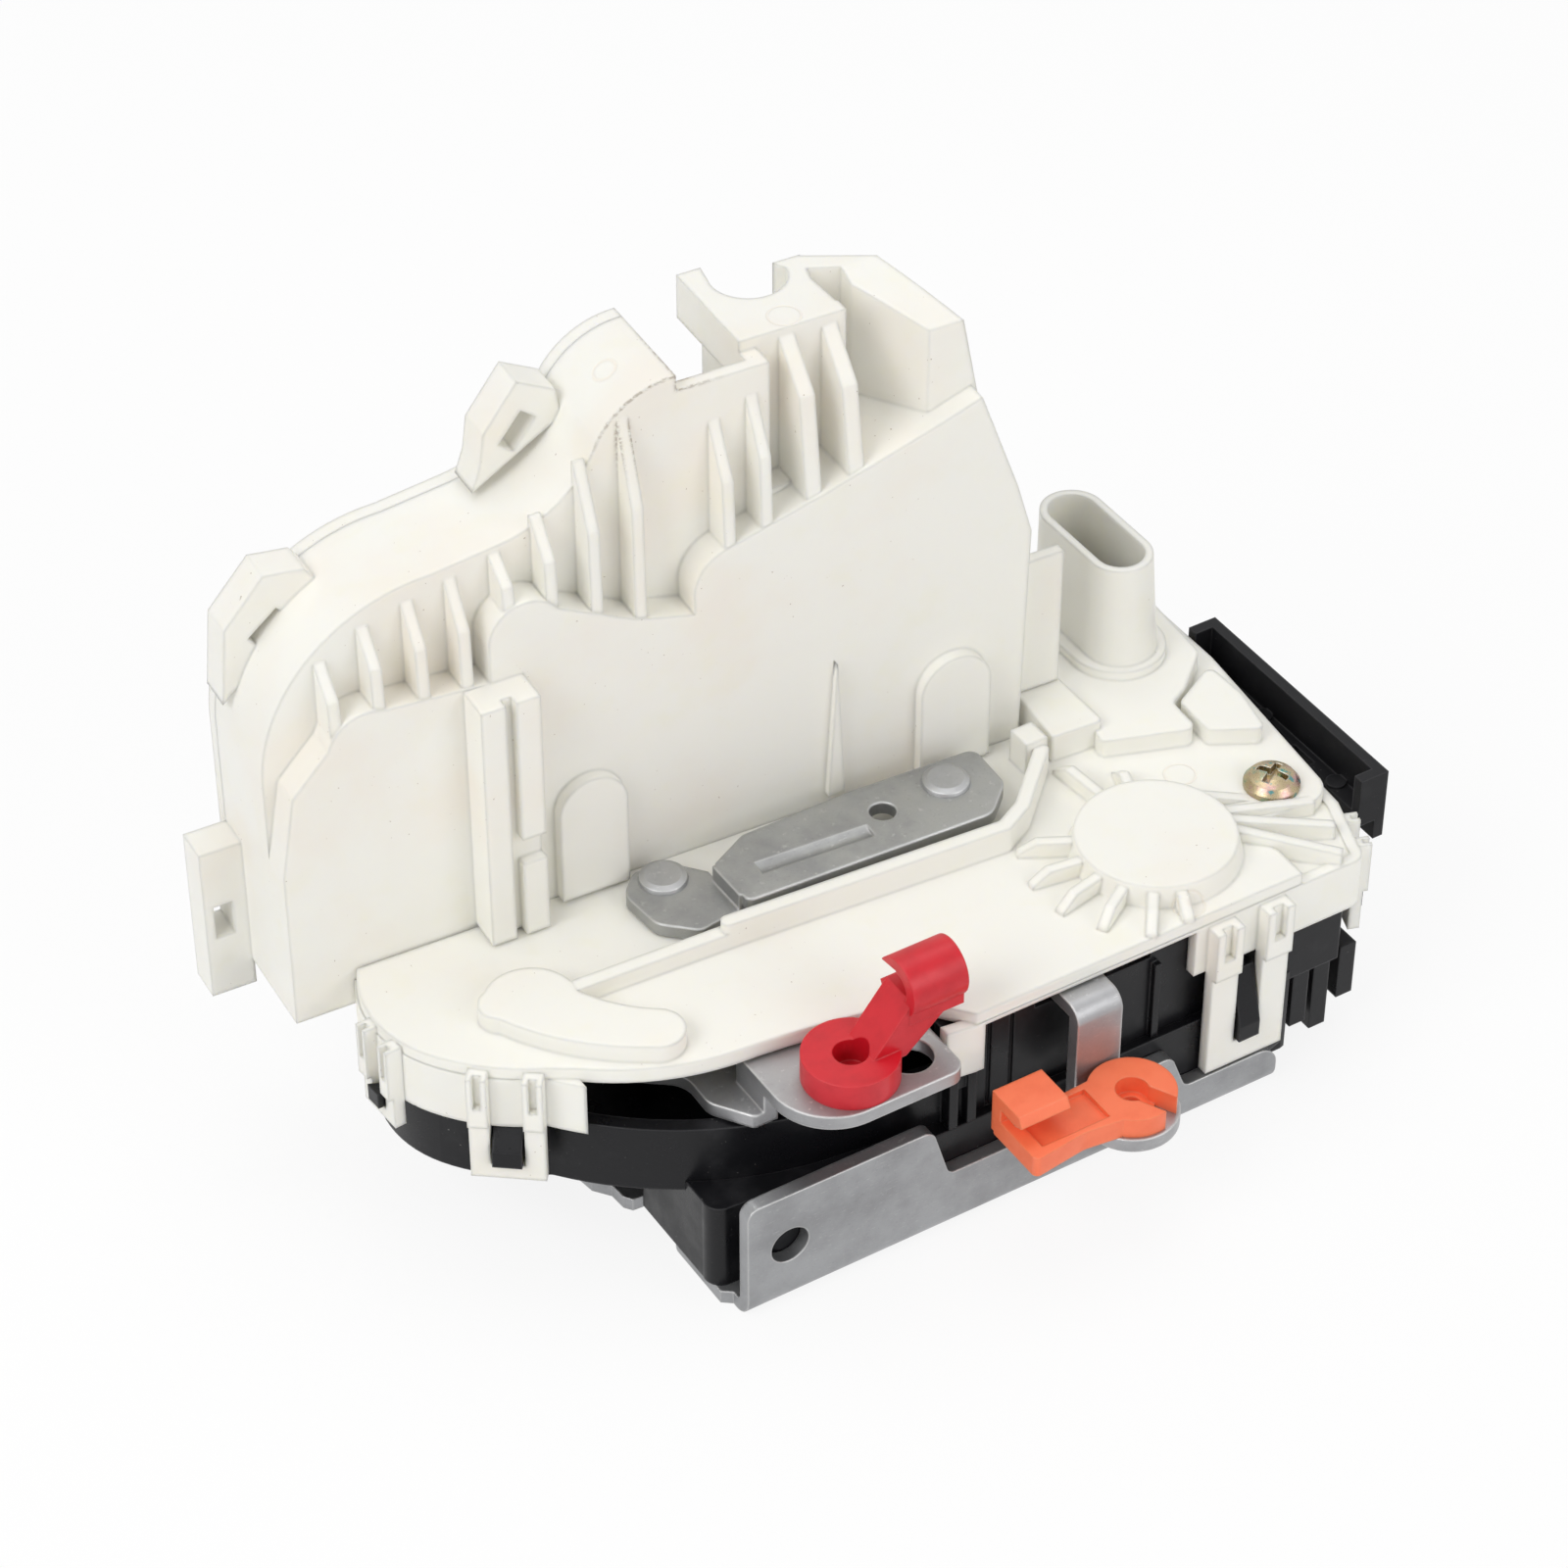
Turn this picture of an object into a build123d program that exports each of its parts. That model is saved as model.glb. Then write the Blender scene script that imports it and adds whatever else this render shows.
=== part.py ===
from build123d import *
import os
from math import atan2, cos, degrees, hypot, pi, radians, sin

# Door latch actuator. Millimetres. X runs along the base plate's flange, Y runs back from
# the flange, and Z rises from the mounting face, which lies on the door's shut face.
# Pieces are laid out from the flange's front left corner, and the origin is moved at the
# end to the mounting face, on the striker mouth's centre line.

# ---------------------------------------------------------------- driving dimensions
# Clearances
slide_gap = 0.3
running_gap = 0.05

# Base plate: pressed steel with one bent flange
plate_t = 2.0
plate_left = -5.5
plate_right = 82.0
plate_back = 67.5
bend_r = 3.0
flange_high = 19.0
flange_mid = 10.2
flange_step = 13.2
flange_low = 6.9
flange_hole_d = 5.5
flange_hole_x = 6.2
flange_hole_z = 10.3
mount_hole_d = 5.0
mount_collar_d = 10.0
mount_collar_h = 3.5
nut_spigot_r = 3.6
mount_holes = [(0.5, 55.0), (73.0, 52.0), (72.0, 13.0)]

# Latch mechanism
fork_x, fork_y = 13.5, 42.4
pawl_x, pawl_y = 53.2, 37.0
striker_reach = 20.0
mouth_w = 14.0
mouth_end_y = 33.0
mouth_flare = 5.0
fork_t = 5.0
fork_r = 24.0
fork_rim_r = 22.0
fork_hub_r = 13.0
fork_swing = 50.0
throat_w = 11.0
pin_d = 8.0
nose_angle = -60.0
pawl_lift = 4.0
release_x, release_y = 40.0, 25.0
release_post_r = 1.8
release_post_top = 30.8
rivet_d = 5.0
rivet_head_d = 6.6
rivet_head_h = 0.9

# Moulded latch housing and cover
block_top = 15.5
tray_bottom = 14.0
wall_t = 2.0
rim_top = 24.3
front_wall_top = 31.4
deck_t = 2.2
deck_top = 34.0
skirt_t = 1.6
skirt_bottom = 24.3

# Release levers
lever_t = 2.0
inside_lever_z = 24.7
inside_tab_z = 29.4
outside_lever_z = 29.4
outside_foot_z = 16.2
red_ring_x, red_ring_y = 17.0, 3.3
red_ring_d = 12.6
orange_x, orange_y = 51.7, -8.6
washer_d = 12.6
orange_ring_r = 5.8
rod_d = 4.0
rod_z = 43.0
ring_h = 3.9
saddle_t = 2.0
clip_hole_r = 3.0
tab_left = 7.0
strip_y = -2.5

# Pivot bridge over the deck
bridge_t = 1.9
bridge_joggle = 2.4

# Actuator case, built upright in its own frame and turned a little about Z
case_x, case_y, case_yaw = -25.5, 50.4, -3.6
case_depth = 19.0
case_wall = 1.8
recess_depth = 4.5
case_foot_z = 28.1
case_step = 16.6
roof_end = 47.6
pocket_floor = 85.8
back_cover_t = 2.0

# Actuator drive
gear_module = 0.8
wheel_teeth = 30
wheel_s, wheel_z = 14.0, 61.2
wheel_t = 5.0
wheel_dep = 7.8
pinion_teeth = 20
pinion_dep = 3.0
pinion_t = 3.2
worm_pitch_r = 3.2
worm_l = 13.0
motor_w, motor_d, motor_l = 20.0, 15.4, 26.0
motor_s = 28.2
axle_d = 4.0
slider_w = 3.6
slider_foot_z = 27.5
slider_top_z = 77.0

# Cover features
disc_x, disc_y, disc_r, disc_h = 71.7, 15.7, 11.0, 3.0
screw_x, screw_y = 92.4, 18.4
screw_d, screw_head_d, screw_l = 3.5, 7.6, 14.0
low_rib_h, high_rib_h = 2.5, 4.0
rib_bend_x, rib_bend_y = 15.4, 29.5
platform_top = 36.8
front_clip = (76.4, 1.7, 0, 12.2, 7.4, 31.8, 4.2, 1.6)
left_clip = (-19.7, 24.6, -38.0, 9.6, 16.4, 33.4, 2.6, 1.6)
far_clip = (-28.9, 38.6, -86.0, 7.0, 20.4, 33.4, 2.0, 1.6)
right_clip = (97.0, 7.6, 70.6, 6.8, 17.4, 31.8, 1.8, 1.6)
terrace_left, terrace_back = 83.0, 14.0

# Connector tower
tower_x, tower_y = 88.7, 54.9
tower_w, tower_l = 9.0, 20.0
tower_top = 54.0
tower_wall = 1.1
tower_draft = 0.7
blade_pitch = 2.6
blade_w, blade_t = 1.5, 0.6

spring_room_r = 8.4
hub_boss_r = pin_d / 2 + 3
hub_boss_top = rim_top - 0.7

ORIGIN = Vector(fork_x + striker_reach, 20.0, 0)
CASE_PLACE = Location((case_x, case_y, 0), (0, 0, case_yaw))

mouth_x = fork_x + striker_reach
deck_bottom = deck_top - deck_t


# ---------------------------------------------------------------- shared shapes
def profile(start, *moves):
    """Closed face from a start point; a move is a point, or (through, end) for an arc."""
    edges = []
    here = start
    for move in moves:
        if isinstance(move[0], tuple):
            edges.append(ThreePointArc(here, move[0], move[1]))
            here = move[1]
        else:
            edges.append(Line(here, move))
            here = move
    if (Vector(here) - Vector(start)).length > 1e-6:
        edges.append(Line(here, start))
    return make_face(Wire(edges))


def rounded(points, radii):
    """Closed face from corner points, each with its own corner radius."""
    return make_face(FilletPolyline(*points, radius=radii, close=True))


def prism(face, z0, z1):
    """Straight extrusion of a plan face from z0 to z1."""
    return Pos(0, 0, z0) * extrude(face, z1 - z0, dir=(0, 0, 1))


def upright(face, y0, y1):
    """Extrusion along Y of a face drawn in X and Z."""
    solid = extrude(face, y1 - y0, dir=(0, 0, 1))
    return Pos(0, y1, 0) * (Rot(90, 0, 0) * solid)


def along_x(face, x0, x1):
    """Extrusion along X of a face drawn in Y and Z."""
    return Pos(x0, 0, 0) * (Rot(0, 0, 90) * (Rot(90, 0, 0) * extrude(face, x1 - x0, dir=(0, 0, 1))))


def box(x0, x1, y0, y1, z0, z1):
    """Box given by its limits."""
    return Pos(x0, y0, z0) * Box(x1 - x0, y1 - y0, z1 - z0, align=(Align.MIN,) * 3)


def post(x, y, r, z0, z1):
    """Upright cylinder given by its limits."""
    return Pos(x, y, z0) * Cylinder(r, z1 - z0, align=(Align.CENTER, Align.CENTER, Align.MIN))


def turned(*points):
    """Solid of revolution about Z from (radius, z) points."""
    face = make_face(Polyline(*[(r, 0, z) for r, z in points], close=True))
    return revolve(face, Axis.Z)


def box2(x0, x1, y0, y1):
    """Plan rectangle given by its limits."""
    return Pos((x0 + x1) / 2, (y0 + y1) / 2) * Rectangle(x1 - x0, y1 - y0)


def sector(radius, start, end):
    """Pie slice about the origin between two angles in degrees."""
    far = radius * 3
    steps = [start + (end - start) * i / 4 for i in range(5)]
    ring = [(far * cos(radians(a)), far * sin(radians(a))) for a in steps]
    return make_face(Polyline((0, 0), *ring, close=True)) & Circle(radius)


# ---------------------------------------------------------------- base plate
def base_plate():
    """Pressed steel plate: flange, lobed left edge, striker mouth, seats for the nuts."""
    section = rounded(
        [(0, 0), (plate_back, 0), (plate_back, plate_t), (plate_t, plate_t),
         (plate_t, flange_high), (0, flange_high)],
        [bend_r, 0, 0, bend_r - plate_t, 0, 0],
    )
    bent = along_x(section, plate_left, plate_right)
    lobe = -1.3
    plan = profile(
        (0, -1), (plate_right, -1), (plate_right, plate_back - 12),
        ((plate_right - 2, plate_back - 5), (plate_right - 8, plate_back)),
        (plate_left + 6, plate_back),
        ((plate_left + 1.7, plate_back - 1.7), (plate_left, plate_back - 6)),
        (plate_left, 33), (-5.1, 30.4), (-3.4, 28.2), (-3.2, 25.6), (-2.4, 24.5), (-1.0, 24.4),
        ((2.6, 22.6), (2.9, 19.6)), ((2.4, 17.9), (1.1, 17.2)), ((-0.6, 16.6), (lobe, 15)),
        (lobe, 4.6), (0, 3.6),
    )
    bent &= prism(plan, -1, flange_high + 1)
    silhouette = rounded(
        [(0, -1), (plate_right, -1), (plate_right, flange_low), (67, flange_low),
         (64.6, flange_step), (50, flange_step), (46, flange_mid), (30, flange_mid),
         (27.4, flange_high), (0, flange_high)],
        [0, 0, 3, 1.5, 1.6, 1.6, 1.6, 1.5, 1.8, 1.8],
    )
    keep = upright(silhouette, -1, bend_r) + box(-20, 120, bend_r, 80, -1, plate_t + 1)
    bent &= keep
    for x, y in mount_holes:
        bent -= post(x, y, nut_spigot_r, -1, 12)
    half = mouth_w / 2
    mouth = profile(
        (mouth_x - half, plate_back - 8), (mouth_x - half, mouth_end_y + half),
        ((mouth_x, mouth_end_y), (mouth_x + half, mouth_end_y + half)),
        (mouth_x + half, plate_back - 8), (mouth_x + half + mouth_flare, plate_back + 1),
        (mouth_x - half - mouth_flare, plate_back + 1),
    )
    bent -= prism(mouth, -1, plate_t + 1)
    hole = Pos(flange_hole_x, 0, flange_hole_z) * (Rot(90, 0, 0) * Cylinder(flange_hole_d / 2, 10))
    bent -= hole
    for x, y in [(fork_x, fork_y), (pawl_x, pawl_y)]:
        bent -= post(x, y, rivet_d / 2 + 0.5, -1, plate_t + 1)
    return bent


def fixing_nut(x, y):
    """Round threaded nut whose spigot is pressed into the plate."""
    nut = turned(
        (mount_hole_d / 2, 0), (nut_spigot_r, 0), (nut_spigot_r, plate_t), (mount_collar_d / 2, plate_t),
        (mount_collar_d / 2, plate_t + mount_collar_h), (mount_hole_d / 2, plate_t + mount_collar_h))
    return Pos(x, y, 0) * nut


# ---------------------------------------------------------------- latch mechanism
def fork_closed():
    """Fork bolt in its latched position, drawn about its own pivot."""
    body = Circle(fork_r)
    body -= sector(2 * fork_r, 50, 238) - Circle(fork_hub_r)
    body -= sector(2 * fork_r, -61, -46) - Circle(fork_hub_r + 3)
    body -= sector(2 * fork_r, -122, -61) - Circle(fork_rim_r)
    body -= sector(2 * fork_r, -92, -84) - Circle(fork_rim_r - 4)
    body -= Pos(striker_reach, 0) * Circle(throat_w / 2)
    body -= Pos(striker_reach + 10, 0) * Rectangle(20, throat_w)
    body -= Circle(pin_d / 2 + running_gap)
    return body


def fork_bolt():
    """Steel rotary latch, shown open and ready for the striker."""
    z0 = plate_t + slide_gap
    solid = extrude(Rot(0, 0, fork_swing) * fork_closed(), fork_t, dir=(0, 0, 1))
    return Pos(fork_x, fork_y, z0) * solid


def pawl_arm(margin):
    """Plan of the pawl's arm before the fork bolt's swept circle is cut away."""
    arm = make_face(Polyline(
        (52, 29.5), (61.5, 36.5), (62, 44), (55, 45.2), (46.5, 41.8),
        (41.5, 32), (30, 24.5), (24.5, 24.5), (21.8, 18.6), (30, 15.6), (40, 20.5), close=True))
    if margin:
        arm = offset(arm, margin)
    return arm + Pos(pawl_x, pawl_y) * Circle(8.6 + margin)


def pawl_plan():
    """Plan of the pawl, which hooks round the fork bolt's swept circle."""
    arm = pawl_arm(0) - Pos(fork_x, fork_y) * Circle(fork_r + 0.6)
    nose = sector(fork_r + 3, nose_angle - 7, nose_angle + 7) - Circle(fork_rim_r + slide_gap)
    return arm + Pos(fork_x, fork_y) * nose


def pawl():
    """Steel pawl whose nose rides on the fork bolt's rim and drops into its notches."""
    z0 = plate_t + slide_gap
    body = prism(pawl_plan(), z0, z0 + fork_t)
    body -= post(pawl_x, pawl_y, pin_d / 2 + running_gap, 0, 20)
    body += post(release_x, release_y, release_post_r, z0, release_post_top)
    return body


def pivot_pin(x, y, top):
    """Stepped pin riveted into the plate and into the bridge, with a domed head."""
    shoulder = top - bridge_t
    pin = turned(
        (0, 0), (rivet_d / 2 + 0.5, 0), (rivet_d / 2 + 0.5, plate_t), (pin_d / 2, plate_t),
        (pin_d / 2, shoulder), (rivet_d / 2, shoulder), (rivet_d / 2, top),
        (rivet_head_d / 2, top), (rivet_head_d / 2 - 0.2, top + rivet_head_h * 0.6),
        (rivet_head_d / 2 - 0.9, top + rivet_head_h), (0, top + rivet_head_h),
    )
    return Pos(x, y, 0) * pin


bridge_low = deck_top + slide_gap
bridge_high = bridge_low + bridge_joggle
fork_pin_top = bridge_low + bridge_t
pawl_pin_top = bridge_high + bridge_t


def pivot_bridge():
    """Pressed steel link that ties both pivot pins together above the cover."""
    joggle_x = fork_x + 5.6
    left = rounded(
        [(fork_x - 2.6, fork_y + 3.2), (fork_x - 5.8, fork_y), (fork_x - 5.2, fork_y - 7.0),
         (fork_x - 1.0, fork_y - 11.0), (joggle_x, fork_y - 10.2), (joggle_x, fork_y - 1.8),
         (fork_x + 2.6, fork_y + 1.8)],
        [2.2, 2.6, 3, 1.5, 0, 0, 2],
    )
    low = prism(left, bridge_low, bridge_low + bridge_t)
    right = rounded(
        [(joggle_x, fork_y - 11.7), (pawl_x + 1.8, pawl_y - 8.4), (pawl_x + 6.4, pawl_y - 4.2),
         (pawl_x + 6.9, pawl_y + 3.7), (pawl_x - 11.6, pawl_y + 5.0), (joggle_x + 6.0, fork_y - 0.4),
         (joggle_x, fork_y - 3.4)],
        [1.0, 3, 2.4, 1.5, 2, 2, 0.6],
    )
    high = prism(right, bridge_high, bridge_high + bridge_t)
    step = box(joggle_x - 0.4, joggle_x + 1.6, fork_y - 10.2, fork_y - 3.6,
               bridge_low, bridge_high + bridge_t)
    link = low + high + step
    groove_a = Vector(joggle_x + 4.4, fork_y - 7.0, bridge_high + bridge_t + 0.9)
    groove_b = Vector(pawl_x - 13.5, pawl_y - 2.9, bridge_high + bridge_t + 0.9)
    run = groove_b - groove_a
    turn = degrees(atan2(run.Y, run.X))
    groove = Location(groove_a, (0, 0, turn)) * (
        Rot(0, 90, 0) * Cylinder(1.5, run.length, align=(Align.CENTER, Align.CENTER, Align.MIN)))
    link -= groove
    link -= post(pawl_x - 10.2, pawl_y - 0.6, 1.8, bridge_low, bridge_high + 5)
    link -= post(fork_x, fork_y, rivet_d / 2, 0, 60)
    link -= post(pawl_x, pawl_y, rivet_d / 2, 0, 60)
    return link


# ---------------------------------------------------------------- latch housing
skirt_gap = 0.2
window_left, window_right = -12.2, 30.6
front_wall_y = 1.7 + skirt_t + skirt_gap
housing_back = plate_back - skirt_t - skirt_gap


def housing_outline():
    """Plan of the housing's outer wall: it fits inside the cover's skirt."""
    return offset(skirt_outline(), -(skirt_t + skirt_gap))


pocket_top = plate_t + fork_t + 2 * slide_gap + 0.2
tray_floor = block_top + 0.5


def latch_block():
    """Black moulding on the plate that guides the fork bolt, the pawl and the striker."""
    lower = profile(
        (-1.8, housing_back), (-1.8, 8.0), ((-1.4, 6.0), (0.6, 5.1)), (3.2, 4.9),
        ((4.2, 3.0), (6.4, plate_t + 0.1)),
        (plate_right - 1, plate_t + 0.1), (plate_right + 4, front_wall_y),
        (plate_right + 4, housing_back),
    )
    body = prism(lower, plate_t, block_top)
    body -= prism(housing_outline(), tray_bottom, 40)
    # step down behind the flange's bend
    body -= box(-20, 100, 0, bend_r + 0.3, 0, bend_r + 0.3)
    # pocket for the fork bolt and pawl, and the striker's channel
    room = prism(pawl_arm(0.8), plate_t - 1, pocket_top)
    for share in (0, 0.5, 1):
        lifted = Rot(0, 0, share * (pawl_lift + 0.5)) * (Pos(-pawl_x, -pawl_y, 0) * room)
        body -= Pos(pawl_x, pawl_y, 0) * lifted
    body -= post(fork_x, fork_y, fork_r + 0.8, plate_t - 1, pocket_top)
    half = mouth_w / 2 + 1
    body -= box(mouth_x - half, mouth_x + half, mouth_end_y, 90, plate_t - 1, tray_bottom)
    mouth = profile(
        (mouth_x - half, housing_back - 7), (mouth_x + half, housing_back - 7),
        (mouth_x + half + mouth_flare, housing_back + 1),
        (mouth_x - half - mouth_flare, housing_back + 1))
    body -= prism(mouth, plate_t - 1, tray_bottom)
    body -= post(release_x, release_y, release_post_r + 2.2, pocket_top - 1, 30)
    # seat for the striker's rubber stop
    body -= box(*buffer_limits(0.1))
    # six-sided pockets over the nuts, deep enough for the screws' ends
    for x, y in mount_holes:
        pocket = Pos(x, y) * RegularPolygon(mount_collar_d / 2 + slide_gap, 6, major_radius=False)
        body -= prism(pocket, plate_t - 1, plate_t + mount_collar_h + 6)
    for x, y in [(fork_x, fork_y), (pawl_x, pawl_y)]:
        body -= post(x, y, spring_room_r, pocket_top - 1, tray_bottom)
    for place in (front_clip, left_clip, far_clip, right_clip):
        body -= catch(*place)
    return body


def latch_housing():
    """Black tray above the block: floor, walls, pivot bosses and catches for the cover."""
    outline = housing_outline()
    body = prism(outline, tray_bottom, rim_top)
    front_wall_x = window_right + 0.6
    front = outline & box2(front_wall_x, 120, -10, 80)
    body += prism(front, rim_top, front_wall_top)
    inner = offset(outline, -wall_t)
    body -= prism(inner, tray_floor, 40)
    body -= post(release_x, release_y, release_post_r + 2.2, tray_bottom - 1, 30)
    for x, y in [(fork_x, fork_y), (pawl_x, pawl_y)]:
        body += post(x, y, hub_boss_r, tray_bottom, hub_boss_top)
        body -= post(x, y, pin_d / 2 + running_gap, 0, 40)
    # notch in the front wall for the outside release strip
    body -= box(44.8, 62.6, 0, front_wall_y + 4, outside_lever_z - 0.5, 40)
    # shallow grooves and a thin rib on the front wall
    for x in (37.6, 41.0):
        body -= box(x, x + 0.7, front_wall_y - 1, front_wall_y + 0.5, block_top, 30.5)
    body += box(62.9, 63.9, front_wall_y - 0.9, front_wall_y + 0.5, block_top, 28.0)
    # short posts beside the finger block
    for x in (31.2, 34.0):
        body += box(x, x + 1.3, plate_t + 0.1, front_wall_y + 0.5, block_top, skirt_bottom - 0.3)
    body += box(31.2, 35.3, plate_t + 0.6, front_wall_y + 0.5, 21.5, 23.4)
    # stepped ribs under the right end
    for x, z in [(87.0, 4.6), (90.4, 2.6), (94.6, 6.2)]:
        body += box(x, x + 2.6, front_wall_y + 0.4, front_wall_y + 12, z, tray_bottom + 1)
    # catches for the cover's clips
    body += catch(*front_clip)
    body += catch(*left_clip)
    body += catch(*far_clip)
    body += catch(*right_clip)
    # clearance for the cover's terrace and for the contact board
    body -= box(terrace_left - 0.4, 103, 0, terrace_back + 0.3, deck_bottom - deck_t - 0.3, 40)
    body -= box(tower_x - 6.4, tower_x + 6.4, tower_y - 9.2, 70, board_top - 2.4, 40)
    # screw boss
    body += post(screw_x, screw_y, 4.0, tray_floor - 0.5, front_wall_top)
    body -= post(screw_x, screw_y, screw_d / 2, tray_floor + 1, 40)
    return body


# ---------------------------------------------------------------- cover
def cover_outline():
    """Plan of the cover's edge, with its curved front lip."""
    return profile(
        (-26.8, 50.2), ((-29.4, 40.5), (-26.9, 32.0)), ((-22.0, 26.2), (-15.8, 21.9)),
        (-11.9, 19.4), ((-5.6, 15.4), (5.7, 12.1)), ((18.0, 10.6), (30.0, 7.8)),
        (34.8, 1.9), (85.2, 1.9), (85.3, 7.2), (83.9, 10.6), (84.2, 13.4),
        (95.0, 12.8), ((97.4, 13.8), (98.6, 16.0)), (101.6, 44.4),
        (101.6, plate_back), (-7.4, plate_back), (-7.4, 48.9),
    )


def skirt_outline():
    """Plan of the skirt's outer face, which wraps the housing."""
    return profile(
        (-27.2, 50.2), ((-29.6, 41.0), (-26.9, 31.6)), ((-22.2, 26.0), (-15.8, 21.8)),
        ((-2.2, 10.2), (14, 4.4)), (34.8, 1.7), (93.6, 1.7), ((95.1, 2.2), (95.9, 3.8)),
        (99.0, 12.4), (101.4, 44), (101.2, plate_back), (-7.4, plate_back), (-7.4, 48.9),
    )


def stadium(x, y, w, length):
    """Plan of a slot with round ends, long along Y."""
    return Pos(x, y) * (Rot(0, 0, 90) * SlotOverall(length, w))


def clip(x, y, turn, w, z0, z1, leg, t):
    """U-shaped snap clip hanging from the cover; local -Y points away from the wall."""
    place = Location((x, y, 0), (0, 0, turn))
    shape = box(-w / 2, w / 2, -t, 0, z0, z1)
    shape -= box(-w / 2 + leg, w / 2 - leg, -t - 1, 1, z0 + leg * 0.9, z1 + 1)
    for side in (-1, 1):
        x0 = side * (w / 2 - leg / 2)
        shape += box(x0 - leg / 2, x0 + leg / 2, -t - 0.7, 0, z1 - 8, z1)
        shape -= box(x0 - leg * 0.2, x0 + leg * 0.2, -t - 1, -t + 0.4, z1 - 5, z1 + 1)
    return place * shape


def catch(x, y, turn, w, z0, z1, leg, t):
    """Wedge on the housing that the clip snaps over."""
    place = Location((x, y, 0), (0, 0, turn))
    foot = z0 + leg * 0.9 + 0.3
    wedge = make_face(Polyline(
        (3.2, foot), (-t - 0.9, foot), (-t - 0.9, foot + 2.5), (-0.2, z1 - 9.4), (3.2, z1 - 9.4), close=True))
    half = w / 2 - leg - 0.3
    return place * along_x(wedge, -half, half)


def rib(x0, y0, x1, y1, w, z0, z1):
    """Straight rib between two plan points, with round ends."""
    run = hypot(x1 - x0, y1 - y0)
    turn = degrees(atan2(y1 - y0, x1 - x0))
    face = Pos((x0 + x1) / 2, (y0 + y1) / 2) * (Rot(0, 0, turn) * SlotOverall(run + w, w))
    return prism(face, z0, z1)


def spoke(x, y, turn, r0, r1, w, height):
    """Radial rib on the deck whose top slopes down towards its tip."""
    side = make_face(Polyline(
        (r0, -0.3), (r1, -0.3), (r1, 0.5), (r1 - 2.5, height), (r0, height), close=True))
    return Location((x, y, deck_top), (0, 0, turn)) * (
        Pos(0, w / 2, 0) * (Rot(90, 0, 0) * extrude(side, w, dir=(0, 0, 1))))


def slope_rib(start, tip, w):
    """Rib whose top falls from beside the disc to the deck's level at its tip."""
    run = hypot(tip[0] - start[0], tip[1] - start[1])
    turn = degrees(atan2(tip[1] - start[1], tip[0] - start[0]))
    side = make_face(Polyline((0, -deck_t), (run, -deck_t), (run, 0), (0, disc_h - 1.0), close=True))
    return Location((start[0], start[1], deck_top), (0, 0, turn)) * (
        Pos(0, w / 2, 0) * (Rot(90, 0, 0) * extrude(side, w, dir=(0, 0, 1))))


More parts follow.
